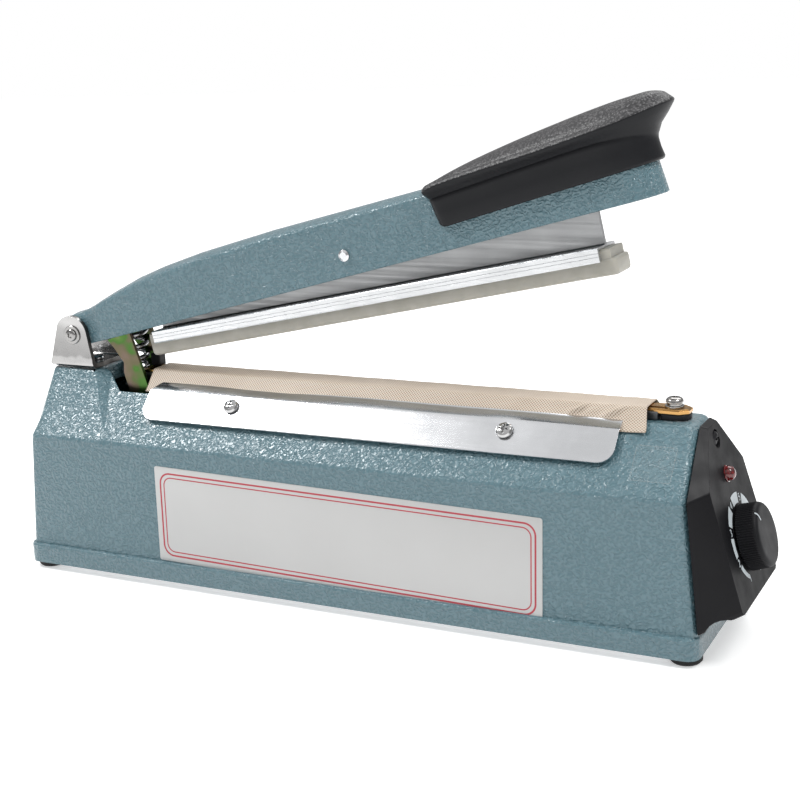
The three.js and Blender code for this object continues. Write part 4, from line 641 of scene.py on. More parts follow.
def leaning_arm(points):
    """The arm's points with its nose leaning back, and the sides of its rear crease kept."""
    offset = points - pin_place
    u = offset @ arm_along
    crease, crease_shift = 14.3, 2.0
    lean = nose_lean(u, offset @ arm_square) - crease_shift * (np.abs(u - crease) < 0.4)
    return points - lean[:, None] * arm_along


def foot_height(u):
    return np.interp(u, [187, 272], [3.0, 5.8])


def crease_height(u):
    return eased(u, [184, 200, 230, 252, 262, 272], [13.9, 14.7, 16.2, 16.9, 16.2, 14.0])


def lip_height(u):
    return eased(u, [181, 190, 205, 232, 258, 279], [16.9, 18.3, 19.0, 20.0, 21.6, 24.3])


def crest_height(u):
    places_along = [179, 184, 191.5, 211, 233, 250, 260, 269, 275, 279]
    return eased(u, places_along, [17.2, 19.0, 22.0, 25.2, 27.6, 29.0, 29.5, 29.6, 29.2, 27.6])


def between(low, high, share):
    """A height that lies at a share of the way from one height to another."""
    return lambda u: (1 - share) * low(u) + share * high(u)


# Half width, rear end, rear corner, start and end of the nose, bow of the rear, height, lift above it
grip_levels = [
    (12.9, 186.9, 3.0, 251, 269.2, 0.6, foot_height, 0.0),
    (13.3, 186.0, 3.0, 251, 269.9, 0.8, foot_height, 0.35),
    (13.5, 185.2, 3.0, 251, 270.2, 1.0, foot_height, 1.1),
    (13.4, 184.3, 3.0, 251, 269.6, 1.4, between(foot_height, crease_height, 0.5), 0.0),
    (13.4, 183.8, 3.0, 251, 269.5, 1.8, crease_height, -1.6),
    (13.55, 183.7, 3.0, 251, 269.65, 1.9, crease_height, -0.7),
    (13.35, 183.6, 3.0, 251, 269.8, 2.0, crease_height, -0.2),
    (13.15, 183.6, 3.0, 251, 270.0, 2.0, crease_height, 0.25),
    (13.6, 183.3, 3.0, 250, 270.3, 2.2, crease_height, 0.75),
    (14.6, 183.0, 3.2, 250, 271.9, 2.4, between(crease_height, lip_height, 0.4), 0.2),
    (15.8, 182.7, 3.5, 249, 275.0, 2.6, between(crease_height, lip_height, 0.7), 0.0),
    (16.45, 182.5, 4.0, 248, 277.8, 2.8, lip_height, -0.35),
    (16.55, 182.4, 4.0, 248, 278.2, 3.0, lip_height, 0.25),
    (16.2, 182.5, 4.0, 248, 278.1, 3.0, lip_height, 0.85),
    (15.4, 182.8, 4.0, 248, 277.7, 3.0, lip_height, 1.45),
    (14.6, 183.1, 4.0, 248, 277.2, 3.0, lip_height, 1.85),
    (14.3, 183.3, 4.0, 248, 276.9, 3.0, lip_height, 1.75),
    (14.1, 183.4, 4.0, 248, 276.7, 3.0, lip_height, 1.35),
    (13.8, 183.5, 4.0, 248, 276.5, 3.0, lip_height, 1.35),
    (13.5, 183.6, 4.0, 248, 276.3, 3.0, lip_height, 2.0),
]


def grip_level(half, rear, corner, nose_start, nose_end, bow, height, lift):
    """One outline; above the lip its lift changes towards the nose by how far the level is drawn in there."""
    plan = nosed_outline(half, rear, corner, nose_start, nose_end, bow)
    if height is lip_height and lift > 1.0:
        nose_lift = 0.85 + 1.25 * (278.1 - nose_end)
        lift = lift + (nose_lift - lift) * rising(plan[:, 0], 252, 16)
    return np.stack([plan[:, 0], plan[:, 1], height(plan[:, 0]) + lift], -1)


def grip_dome(edge):
    """Twelve rows from the top level up to the crest: they close in on a spine while v rises as (1 - s^2)^p."""
    rows = []
    spine_u = np.clip(edge[:, 0], 187.0, 268.0)
    for share in np.linspace(0, 1, 13)[1:]:
        sweep = 1 - share
        u = spine_u + (edge[:, 0] - spine_u) * sweep
        y = edge[:, 1] * sweep
        blend = (1 - sweep**2) ** (0.85 - 0.3 * rising(edge[:, 0], 262, 14))
        top = np.maximum(crest_height(np.clip(u, 183, 279)), edge[:, 2])
        rows.append(np.stack([u, y, edge[:, 2] + (top - edge[:, 2]) * blend], -1))
    return rows


def arm_space():
    """The arm's own outline with a little play, to be cut out of the grip."""
    plan = nosed_outline(11.15, 120, 1, 257.8, 268.9, 0)
    whole = np.concatenate([plan, plan[-2:0:-1] * np.array([1, -1])])
    rows = []
    for v in (-12.0, -5.7, 16.3):
        lean = nose_lean(whole[:, 0], np.full(len(whole), v))
        rows.append(on_arm(whole[:, 0] - lean, whole[:, 1], v))
    return surface("arm_space", np.array(rows), looks["paint"])


def grip_skin():
    """The levels, the dome above them and a flat foot, mirrored; stippled where it is above the lip."""
    rows = [grip_level(*level) for level in grip_levels]
    near = np.array(rows + grip_dome(rows[-1]))
    far = near[:, -2:0:-1] * np.array([1, -1, 1])
    ring = np.concatenate([near, far], axis=1)
    foot_row = ring[:1].copy()
    foot_row[..., 1] = 0
    foot_row[..., 0] = np.clip(foot_row[..., 0], 190, 262)
    foot_row[..., 2] = foot_height(foot_row[..., 0])
    ring = np.concatenate([foot_row, ring])
    skin = on_arm(ring[..., 0], ring[..., 1], ring[..., 2])
    piece = cut_by(surface("grip_skin", skin, looks["black_plastic"], 50, caps=False), arm_space())
    mesh = piece.data
    mesh.materials.clear()
    mesh.materials.append(looks["black_plastic"])
    mesh.materials.append(stipple_look)
    offset = read(mesh.polygons, "center", 3) / mm - pin_place
    u, v = offset @ arm_along, offset @ arm_square
    mesh.polygons.foreach_set("material_index", (v > lip_height(u) + 0.45).astype(np.int32))
    smoothed(mesh, 50)
    return ride(piece, "arm", "black_plastic", "grip")


grip_skin()


# Pressure bar and silicone strip: sections carried along the bar

def carried(section, start, end, place):
    """A closed section of (across, up) points carried along a line."""
    section = np.asarray(section, float)
    return np.array([place(u, section[:, 0], section[:, 1]) for u in (start, end)])


def bar_section():
    """A flange with two fine lines along each side and a channel below, without its web."""
    half, top, bottom = 9.5, -15.3, -20.5
    side = [(half - 0.35, top), (half, top - 0.35)]
    for line in (1.9, 3.2):
        side += [(half, top - line + 0.14), (half - 0.16, top - line), (half, top - line - 0.14)]
    side += [(half, bottom + 0.5), (half - 0.3, bottom), (7.8, bottom), (7.8, top - 0.9)]
    left = [(-y, v) for y, v in side]
    return side + left[::-1]


def bar_web():
    """A thin web whose upper edge rises from the bar's rear end to its full height 40 mm further on."""
    half, bevel, foot, top = 0.96, 0.2, -15.3, 4.0
    rear, full, front, rear_top = -100.8, -60.8, 100.2, -2.0
    y = np.array([-half, half, half, half - bevel, bevel - half, -half])
    below_top = np.array([0, 0, bevel, 0, 0, bevel])
    grid = []
    for u in (rear, full, front):
        height = np.interp(u, [rear, full], [rear_top, top])
        v = np.where(np.arange(len(y)) < 2, foot, height - below_top)
        grid.append(on_bar(u, y, v))
    return np.array(grid)


def pressure_bar():
    """A flange with its channel, the web that stands on it, and the small fillet between them."""
    foot = -15.3
    fillet = [(-1.7, foot), (1.7, foot), (1.05, foot + 0.5), (-1.05, foot + 0.5)]
    flange = surface("bar_flange", carried(bar_section(), -100.8, 100.2, on_bar), looks["aluminium"], 25)
    ride(flange, "press_bar", "aluminium", "pressure_bar")
    ride(surface("bar_web", bar_web(), shaded_web_look, 25), "press_bar", "aluminium")
    ride(surface("bar_fillet", carried(fillet, -100.7, 100.1, on_bar), shaded_web_look, 25), "press_bar", "aluminium")


def silicone_strip():
    """A rounded rectangle carried along the bar, its ends drawn in, over a narrower rib held in the channel."""
    half, top, bottom, corner = 7.5, -19.6, -25.9, 1.7
    a = quarter(6)
    right = np.stack([half - corner + corner * np.cos(a), bottom + corner - corner * np.sin(a)], -1)
    lip = np.array([[half - 0.5, top], [half, top - 0.5]])
    section = np.concatenate([lip, right, right[::-1] * [-1, 1], lip[::-1] * [-1, 1]])
    inset = np.array([1.1, 0.4, 0.1, 0.0])
    ends = np.array([0.0, 0.3, 0.8, 1.6])
    u = np.concatenate([-104.6 + ends, np.linspace(-95, 96, 24), 105.6 - ends[::-1]])
    shrink = np.concatenate([inset, np.zeros(24), inset[::-1]])
    middle_v = (top + bottom) / 2
    grid = []
    for place, less in zip(u, shrink):
        y = section[:, 0] * (1 - less / half)
        v = middle_v + (section[:, 1] - middle_v) * (1 - less / (top - middle_v))
        droop = 0.15 * rising(place, 60, 45) ** 2
        grid.append(on_bar(place, y, v - droop))
    strip = surface("silicone_skin", np.array(grid), looks["silicone"], 50)
    ride(strip, "press_bar", "silicone", "silicone_strip")
    rib = [(-6.6, -16.3), (6.6, -16.3), (7.2, -16.9), (7.2, -20.2), (-7.2, -20.2), (-7.2, -16.9)]
    skin = surface("silicone_rib", carried(rib, -104.2, 103.8, on_bar), looks["silicone"], 25)
    ride(skin, "press_bar", "silicone")


pressure_bar()
silicone_strip()


# Return spring: a round wire on a helix whose end coils lie flat

def return_spring():
    """Radius and height of the wire's middle against turns; the tube is a circle square to that line."""
    low, high = box_of("return_spring")
    wire = 1.1
    radius = (high[0] - low[0]) / 2 - wire
    centre = (low + high) / 2
    turns = 11
    t = np.linspace(0, 1, turns * 28 + 1)
    angle = 2 * math.pi * turns * t
    flat = 0.9 / turns
    climb = rising(t, flat / 2, 1 - flat)
    z = low[2] + wire + (high[2] - low[2] - 2 * wire) * climb
    path = np.stack([centre[0] + radius * np.cos(angle), radius * np.sin(angle), z], -1)
    outward = np.stack([np.cos(angle), np.sin(angle), np.zeros_like(angle)], -1)
    square = np.cross(ahead_of(path), outward)
    a = np.linspace(0, 2 * math.pi, 13)[:-1]
    ring = wire * (np.cos(a)[None, :, None] * outward[:, None] + np.sin(a)[None, :, None] * square[:, None])
    spring = surface("return_spring_skin", path[:, None] + ring, shaded_spring_look, 50)
    ride(spring, "base", "chrome", "return_spring")
    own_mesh(spring)


return_spring()


# Side plates, cloth and what is fixed to the shoulders

def shoulder(side):
    """Places on a slanted side: x along, how far down from its upper edge, and how far out of it."""
    half_top, top, cosine, sine = 9.4, 82.3, 0.6962, 0.7178
    return places((0, side * half_top, top), (1, 0, 0), (0, side * cosine, -sine), (0, side * sine, cosine))


def solidify(piece, thickness, bevel=0.0):
    """The sheet made thick towards the inside of its faces, its rims lightly broken."""
    wall = piece.modifiers.new("thickness", "SOLIDIFY")
    wall.thickness = thickness * mm
    wall.offset = -1
    wall.use_even_offset = True
    if bevel:
        broken_edges(piece, bevel, "ANGLE").angle_limit = math.radians(50)


def sheet_mesh(name, grid, material, out_hint, uv=None, angle=40.0):
    """An open skin over a grid, turned so that its faces look along out_hint."""
    rows, columns = grid.shape[:2]
    faces = quads(rows, columns)
    a, b, c = (grid.reshape(-1, 3)[faces[len(faces) // 2][i]] for i in (0, 1, 2))
    if np.dot(np.cross(b - a, c - b), out_hint) < 0:
        faces = faces[:, ::-1]
    return finish_mesh(name, grid, faces, material, angle, closed=False, uv=uv)


def side_plate(side, name, node):
    """A flat sheet with dimples under its screws and a lip bent to the bed; rear edge cut back at the top."""
    rear, front, corner, foot = middle - 89.6, middle + 116.2, 6.0, 18.5
    length, bend, rim, stand_off = front - rear, 4.4, -0.5, 2.2
    screws, screw_down = (73.0, -47.2), 9.2
    edge = corner * (1 - np.cos(quarter(9)))
    x_share = np.concatenate([edge, np.linspace(corner, length - corner, 150)[1:-1], length - edge[::-1]])
    x = rear + x_share[:, None]
    from_end = np.minimum(x_share, length - x_share)
    low = foot - (corner - np.sqrt(np.maximum(corner**2 - np.maximum(corner - from_end, 0) ** 2, 0)))
    lip_downs = np.array([rim, 0.6, 1.8, 3.0, 3.9, bend])
    flat_downs = bend + np.linspace(0, 1, 22)[None, 1:] * (low[:, None] - bend)
    downs = np.concatenate([np.repeat(lip_downs[None, :], len(x_share), 0), flat_downs], axis=1)
    lean = np.clip(bend - downs, 0, bend - rim)
    wave = 0.24 * np.sin((x - middle) / 31.0) + 0.14 * np.sin((x - middle) / 12.7 + 1.0)
    out = stand_off - 0.20 * lean - 0.018 * lean**2 + wave * lean / (bend - rim)
    for screw in screws:
        reach = np.hypot(x - (middle + screw), (downs - screw_down) * 1.15)
        out = out - 0.22 * np.exp(-((reach / 8.0) ** 2)) + 0.05 * np.exp(-(((reach - 15) / 9.0) ** 2))
    cut = 3.9 * np.clip(1 - (downs - rim) / 5.2, 0, 1) * np.clip(1 - x_share[:, None] / 30.0, 0, 1)
    grid = shoulder(side)(x + cut, downs, out)
    plate = sheet_mesh(name, grid, looks["steel"], (0, side * 0.7, 0.7), angle=30)
    solidify(plate, 0.8, 0.15)
    ride(plate, "base", "steel", node)


side_plate(-1, "side_plate_near_skin", "side_plate_near")
side_plate(1, "side_plate_far_skin", "side_plate_far")


def cloth_line():
    """The line from hem over the bed to hem as (y, z) points, its corners softened, and the way along it."""
    near, out = shoulder(-1), 0.68
    hem, knee = near(0.0, 4.6, out)[1:], near(0.0, 0.0, out)[1:]
    edge, mirrored = np.array([-5.95, 87.52]), [-1, 1]
    corners = np.array([hem, knee, edge, [0.0, 87.56], edge * mirrored, knee * mirrored, hem * mirrored])
    reach = np.concatenate([[0], np.cumsum(np.linalg.norm(np.diff(corners, axis=0), axis=1))])
    v = np.linspace(0, reach[-1], 61)
    line = np.stack([np.interp(v, reach, corners[:, i]) for i in (0, 1)], -1)
    soft = line.copy()
    for _ in range(3):
        soft[1:-1] = 0.25 * soft[:-2] + 0.5 * soft[1:-1] + 0.25 * soft[2:]
    soft[:, 1] = np.maximum(soft[:, 1], line[:, 1] - 0.12)
    return soft, v


# Start along the bed, slant, width and height of the folds
cloth_folds = ((95.0, 1.3, 1.6, 1.7), (101.0, 1.0, 2.4, 0.4), (109.0, 1.3, 1.7, 1.6), (71.0, 0.8, 3.5, 0.25))


def cloth_lift(x, side_v, near_share):
    """How far the cloth stands off its line, from x along the bed and the way up from the hem.

    Each fold adds height * exp(-(across / width)^2), with across = x - start - slant * (up - 5), where the
    cloth hangs free. To that come a slow wave of the hem, the front hem turned out, and gathers at the bend.
    """
    free = rising(side_v, 5.0, 2.0) * rising(side_v, 11.2, -3.0)
    lift = np.zeros_like(x)
    for start, slant, width, height in cloth_folds:
        across = x - start - slant * (side_v - 5.0)
        lift += height * np.exp(-((across / width) ** 2)) * near_share * free
    hem_wave = 0.10 * rising(side_v, 11.5, -9.0) * (1 + np.sin(x / 9.0 + side_v))
    lift += hem_wave + 0.8 * rising(x, 117, 7.0) ** 2 * rising(side_v, 9.0, -9.0)
    gathers = 0.12 * (1 + np.sin(x / 4.1 + 0.4 * side_v))
    return lift + gathers * rising(side_v, 9.0, 3.0) * rising(side_v, 13.0, -3.0)


def ptfe_cloth():
    """The section's line carried along the bed, its points moved out square to it by the lift."""
    soft, v = cloth_line()
    normal = left_of(soft)
    x = middle + np.linspace(-93.0, 124.0, 310)
    grid_x, grid_v = np.meshgrid(x - middle, v, indexing="ij")
    side_v = np.minimum(grid_v, v[-1] - grid_v)
    lift = cloth_lift(grid_x, side_v, np.where(grid_v < v[-1] / 2, 1, 0.4))
    y, z = (soft[None, :, i] + lift * normal[None, :, i] for i in (0, 1))
    slip = 1.7 * rising(grid_x, 108, 16) ** 2 * rising(side_v, 10.0, -9.0)
    grid = np.stack([grid_x + middle + slip, y, z], -1)
    uv = np.stack([grid_x, grid_v], -1).reshape(-1, 2) * mm
    cloth = sheet_mesh("ptfe_cloth_skin", grid, looks["cloth"], (0, 0, 1), uv=uv, angle=60)
    solidify(cloth, 0.3)
    ride(cloth, "base", "cloth", "ptfe_cloth")


ptfe_cloth()


# Label plate and film place, both bare

def rounded_path(width, height, radius, steps=8):
    """Corners of a rounded rectangle about the origin, as (across, up) points."""
    corner = polar(radius, quarter(steps))
    centre = np.array([width / 2 - radius, height / 2 - radius])
    signs = ((1, 1), (-1, 1), (-1, -1), (1, -1))
    turns = (corner, corner[:, ::-1], corner, corner[:, ::-1])
    return np.concatenate([centre * sign + turn * sign for sign, turn in zip(signs, turns)])


def laid_plate(name, path, place, thickness, material):
    """A thin closed plate over an outline: place(across, up, out) puts its points in space."""
    inner = path * (1 - 0.1 / np.abs(path).max(axis=0))
    levels = ((path, 0.0), (path, thickness * 0.8), (inner, thickness))
    return surface(name, np.array([place(*line.T, out) for line, out in levels]), material, 30)


def band_edges(one, other, place, low, high):
    """The four edges of a flat band between two lines of (across, up) points."""
    edges = ((one, low), (other, low), (other, high), (one, high))
    return np.array([place(*line.T, out) for line, out in edges])


def laid_ring(name, outer, inner, place, low, high, material):
    """A flat band between two closed outlines with matching points."""
    grid = band_edges(inner, outer, place, low, high)
    return finish_mesh(name, grid, quads(4, grid.shape[1], True, True), material, 30)


def laid_band(name, one, other, place, low, high, material):
    """A flat band between two open lines with matching points."""
    return surface(name, band_edges(one, other, place, low, high).swapaxes(0, 1), material, 30)


def on_wall(centre_x, centre_z, turn):
    """Places on the near wall, which leans in over its height, about a centre and turned clockwise."""
    cosine, sine = math.cos(math.radians(turn)), math.sin(math.radians(turn))
    foot_y, foot_z, height, lean = 30.95, 8.5, 52.2, 0.6

    def place(across, up, out):
        across, up = np.asarray(across, float), np.asarray(up, float)
        x = centre_x + across * cosine + up * sine
        z = centre_z - across * sine + up * cosine
        y = -(foot_y - (z - foot_z) / height * lean) - out
        return np.stack([x, y, z], -1)

    return place


def label():
    """A bare plate with two red borders, each given by its inset, its line's width and its corner."""
    place = on_wall(middle + 6.35, 30.8, 1.1)
    width, height = 171.3, 41.0
    plate = laid_plate("label_plate_skin", rounded_path(width, height, 1.0), place, 0.25, plate_look)
    ride(plate, "base", "aluminium")
    for index, (inset, line, radius) in enumerate(((2.3, 0.72, 5.0), (4.15, 0.5, 3.8))):
        inner_edge = inset + line
        outer = rounded_path(width - 2 * inset, height - 2 * inset, radius, 12)
        inner = rounded_path(width - 2 * inner_edge, height - 2 * inner_edge, radius - line, 12)
        border = laid_ring(f"label_border_{index + 1}", outer, inner, place, 0.2, 0.27, red_print)
        ride(border, "base", "aluminium")


def film():
    """A clear film on the near shoulder, with its cut rim."""
    on_shoulder = shoulder(-1)

    def place(across, up, out):
        return on_shoulder(middle + 130.7 + across, 16.0 - up, out + 0.05)

    path = rounded_path(15.0, 14.2, 0.8, 4)
    ride(laid_plate("film_skin", path, place, 0.12, film_look), "base", "paint")
    inner = rounded_path(14.6, 13.8, 0.7, 4)
    ride(laid_ring("film_rim", path, inner, place, 0.05, 0.15, film_edge), "base", "paint")


label()
film()


# End panel: dial, knob and lamp

panel_normal = np.array([0.958323, 0, 0.285688])
panel_up = np.array([-panel_normal[2], 0, panel_normal[0]])
panel_top_z, wall_foot_z, wall_lean, panel_lean = 81.2, 11.5, math.radians(5.1), math.radians(16.6)
panel_top_x = middle + 149.4 - (panel_top_z - wall_foot_z) * math.tan(wall_lean) + 2.9


def on_panel(height):
    """Places on the panel's leaning face: across, up and out of it from its middle line at a height."""
    x = panel_top_x + (panel_top_z - height) * math.tan(panel_lean)
    return places((x, 0, height), (0, 1, 0), panel_up, panel_normal)


dial_height, print_thickness = 39.8, 0.07
dial = on_panel(dial_height)
number_turns = (242, 199, 155, 111, 67, 23, -21, -65)


def dial_ring():
    """A wedge round the shaft, widening clockwise, broken where its numbers stand."""
    for index in range(len(number_turns) - 1):
        start, end = number_turns[index] - (8 if index else 2), number_turns[index + 1] + 8
        turn = np.radians(np.linspace(start, end, 14))
        share = (number_turns[0] - np.degrees(turn)) / (number_turns[0] - number_turns[-1])
        growth = np.clip(share * 2.4, 0, 1)
        lines = polar(13.7 - 0.9 * growth, turn), polar(15.1 + 1.6 * growth, turn)
        band = laid_band(f"dial_band_{index + 1}", *lines, dial, 0.0, print_thickness, white_print)
        ride(band, "base", "black_plastic")


# Each number as one line through points in a box one wide and one high
strokes = {
    1: [(0.25, 0.75), (0.5, 1.0), (0.5, 0.0)],
    2: [(0.1, 0.78), (0.3, 1.0), (0.7, 0.98), (0.88, 0.72), (0.6, 0.42), (0.1, 0.0), (0.92, 0.0)],
    3: [(0.1, 0.95), (0.6, 1.0), (0.85, 0.76), (0.45, 0.52), (0.88, 0.28), (0.6, 0.0), (0.1, 0.05)],
    4: [(0.65, 0.0), (0.65, 1.0), (0.08, 0.3), (0.95, 0.3)],
    5: [(0.85, 1.0), (0.2, 1.0), (0.14, 0.56), (0.6, 0.62), (0.9, 0.32), (0.6, 0.0), (0.1, 0.06)],
    6: [(0.78, 1.0), (0.3, 0.72), (0.1, 0.3), (0.4, 0.0), (0.82, 0.1), (0.84, 0.42), (0.5, 0.56), (0.14, 0.36)],
    7: [(0.08, 1.0), (0.92, 1.0), (0.4, 0.0)],
    8: [(0.5, 0.54), (0.14, 0.76), (0.5, 1.0), (0.86, 0.76), (0.5, 0.54), (0.1, 0.26), (0.5, 0.0), (0.9, 0.26),
        (0.5, 0.54)],
}


def dial_numbers():
    """The numbers' lines, each length in three steps, drawn as bands of even width."""
    radius, width, size = 14.9, 0.42, [1.5, 2.4]
    for (number, line), turn in zip(strokes.items(), number_turns):
        points = np.array(line) - 0.5
        steps = np.tile([0, 1 / 3, 2 / 3], len(points) - 1)
        fine = np.concatenate([points[:-1].repeat(3, 0), points[-1:]])
        fine[:-1] += np.diff(points, axis=0).repeat(3, 0) * steps[:, None]
        path = polar(radius, math.radians(turn)) + fine * size
        side = left_of(path) * width / 2
        name = f"dial_number_{number}"
        band = laid_band(name, path + side, path - side, dial, 0.0, print_thickness, white_print)
        ride(band, "base", "black_plastic")


dial_ring()
dial_numbers()


def turned(name, profile, place, material, steps=48, angle=30.0, ribs=0, depth=0.0):
    """A profile of (radius, out) points turned about an axis; ribs cut its rim to a depth where it is given."""
    turn = np.linspace(0, 2 * math.pi, steps + 1)[:-1]
    rows = []
    for radius, out, *rib in profile:
        wave = radius - (rib[0] if rib else 0.0) * depth * (0.5 + 0.5 * np.cos(ribs * turn))
        rows.append(place(wave * np.cos(turn), wave * np.sin(turn), out))
    return surface(name, np.array(rows), material, angle, caps=False)


def timer_knob():
    """The knob's skirt has its ribs between its foot and its shoulder; the pointer is laid along its top."""
    skirt = [(0.0, 0.7), (11.0, 0.7), (12.2, 0.7, 1), (12.2, 1.4, 1), (12.0, 6.5, 1)]
    top = [(11.95, 6.9, 0.6), (11.8, 7.4, 0.1), (11.45, 7.95), (10.9, 8.35), (10.2, 8.52), (9.2, 8.55)]
    top.append((0.0, 8.6))
    knob = turned("timer_knob_skin", skirt + top, dial, knob_look, 504, 32, 84, 0.32)
    ride(knob, "knob", "black_plastic", "timer_knob")
    turn, half_width = math.radians(121), 0.3
    r = np.linspace(7.6, 11.6, 9)
    line = polar(r, turn)
    lift = np.interp(r, [row[0] for row in top[::-1]], [row[1] for row in top[::-1]])
    side = half_width * np.array([-math.sin(turn), math.cos(turn)])
    pointer = laid_band("knob_pointer", line + side, line - side, dial, lift - 0.1, lift + 0.08, white_print)
    ride(pointer, "knob", "black_plastic")


def lamp_dome():
    """A rim and a dome of r = 2.7 * cos(t), out = 1 + 2.3 * sin(t)."""
    rim = [(0.0, -0.4), (3.1, 0.0), (3.1, 0.25), (2.8, 0.4)]
    dome = [(2.7 * math.cos(t), 1.0 + 2.3 * math.sin(t)) for t in quarter(9)]
    lamp = turned("indicator_lamp_skin", rim + dome, on_panel(dial_height + 23.4), looks["red_lens"], 40, 30)
    ride(lamp, "base", "red_lens", "indicator_lamp")


timer_knob()
lamp_dome()


# Hinge pin and terminal screw: a shank, a washer and a domed head with a cross in it

def washer_and_head(base, washer, thick, head, height):
    """Profile rows of a washer, of a domed head on it, and of the cross sunk in the head.

    The dome: r = head * cos(t)^0.7 and out = top + height * (0.25 + 0.75 * sin(t)).
    """
    top = base + thick
    rows = [(washer, base), (washer, base + 0.7 * thick), (washer - 0.3 * thick, top)]
    rows += [(0.88 * head, top), (0.88 * head, top + 0.08 * height), (head, top + 0.2 * height)]
    for t in np.linspace(0.15, 1.04, 6):
        rows.append((head * math.cos(t) ** 0.7, top + height * (0.25 + 0.75 * math.sin(t))))
    rows += [(0.52 * head, top + 0.93 * height, 1), (0.42 * head, top + 0.5 * height, 1)]
    return rows + [(0.0, top + 0.45 * height)]


def hinge_pin():
    """Half a pin with its washer and head on either side."""
    profile = [(0.0, 2.0), (2.2, 2.0), (2.2, 11.1)] + washer_and_head(11.1, 4.1, 0.6, 2.7, 1.3)
    for name, side, solids in (("hinge_pin_near", -1, ["hinge_pin"]), ("hinge_pin_far", 1, [])):
        outward = places(pin_place, (1, 0, 0), (0, 0, 1), (0, side, 0))
        ride(turned(name, profile, outward, pin_look, 48, 35, 4, 0.55), "base", "chrome", *solids)


def terminal_screw():
    """A flat washer, a spring washer and a domed head, one above the other."""
    low, high = box_of("front_terminal_screw")
    axis, plate_top = (low + high) / 2, 86.6
    upward = places((axis[0], axis[1], plate_top), (1, 0, 0), (0, 1, 0), (0, 0, 1))
    washer = [(3.45, 0.0), (3.5, 0.15), (3.5, 0.6), (3.3, 0.75)]
    profile = [(0.0, -3.0), (1.6, -3.0), (1.6, 0.0)] + washer + washer_and_head(0.75, 2.75, 0.75, 3.3, 2.4)
    screw = turned("front_terminal_screw_skin", profile, upward, terminal_look, 48, 35, 4, 0.75)
    ride(screw, "base", "chrome", "front_terminal_screw")


hinge_pin()


# Solids that get a changed copy

def moved_block(points):
    """The rear block 0.3 mm further along, under half as wide and on the far side, its top higher by 40 %."""
    foot = 87.2
    return points * [1, 0.46, 1.4] + [0.3, 2.6, foot * (1 - 1.4)]


def near_to(points, place, reach):
    return np.linalg.norm(points - place, axis=1) < reach


# The corners of the rear post's far side, and where they go
post_moves = [
    ((-134.32, 11.00, 85.30), (-131.60, 11.00, 85.30)), ((-132.82, 10.60, 85.30), (-130.60, 10.60, 85.30)),
    ((-134.32, 10.00, 86.30), (-131.60, 10.00, 86.30)), ((-133.32, 9.73, 86.30), (-130.60, 9.73, 86.30)),
    ((-120.68, 24.57, 66.66), (-115.90, 27.30, 63.85)), ((-120.76, 25.01, 66.21), (-115.80, 27.62, 63.52)),
    ((-122.06, 9.51, 82.00), (-125.30, 7.25, 84.60)), ((-122.19, 9.61, 81.95), (-125.20, 7.40, 84.40)),
    ((-122.26, 9.83, 81.78), (-125.10, 7.60, 84.18)), ((-122.41, 10.14, 81.54), (-124.90, 7.90, 83.85)),
]


def post_with_facet(points):
    """The post gets a facet between its side and the shoulder; screw posts end flush with the rear wall."""
    wall_z, wall_x, posts_top, posts_half = (11.5, 58.07), (-159.11, -154.95), 20, 27.3
    moved = points.copy()
    for old, new in post_moves:
        for side in (-1, 1):
            mirror = np.array([1, side, 1])
            here = near_to(points, np.array(old) * mirror, 0.06)
            moved[here] = np.array(new) * mirror
    wall = np.interp(points[:, 2], wall_z, wall_x)
    at_posts = (points[:, 2] > 11.4) & (points[:, 2] < posts_top) & (np.abs(points[:, 1]) < posts_half)
    proud = at_posts & (points[:, 0] < wall - 0.02)
    moved[proud, 0] = wall[proud]
    return moved


def housing_share(first, second):
    """Narrower at the foot and at the rear, none on very short edges nor low on the rear wall."""
    share = np.ones(len(first), np.float32)
    top, front = np.maximum(first[:, 2], second[:, 2]), np.maximum(first[:, 0], second[:, 0])
    share[top < 16] *= 0.35
    share[np.linalg.norm(first - second, axis=1) < 1.2] = 0
    share[front < -148] *= 0.3
    share[(front < -148) & (top < 62)] = 0
    return share


def panel_fold(a, b):
    """The line across each long lower side of the panel, which is one twisted face."""
    picked = np.zeros(len(a), bool)
    for side in (-1, 1):
        ends = np.array([[135.06, side * 30.36, 60.04], [153.46, side * 25.30, 21.84]])
        for one, other in ((a, b), (b, a)):
            picked |= near_to(one, ends[0], 1.2) & near_to(other, ends[1], 1.2)
    return picked


def panel_bend(a, b):
    """The bend between the panel's upper and lower sides."""
    level = (np.minimum(a[:, 2], b[:, 2]) > 59.5) & (np.maximum(a[:, 2], b[:, 2]) < 63.8)
    return level & (np.abs(a[:, 0] - b[:, 0]) > 4.0)


def rear_crease(a, b):
    """The two lines where the arm's flat side turns in towards its hinge."""
    crease = 16.3
    away = np.maximum(*(np.abs((end - pin_place) @ arm_along - crease) for end in (a, b)))
    return (away < 0.5) & (np.minimum(np.abs(a[:, 1]), np.abs(b[:, 1])) > 10.0)


fold_height = 90.5


def folded_foot(points):
    """The bracket's ears stand out a little below a fold near their foot, and are thicker inside."""
    points = points.copy()
    side, far = np.sign(points[:, 1]), np.abs(points[:, 1])
    points[:, 1] += side * 0.4 * rising(points[:, 2], fold_height, -2.0) * (far > 10.5)
    inner = (far > 9.7) & (far < 10.3) & (points[:, 2] > 88.5)
    points[inner, 1] = side[inner] * 9.3
    return points


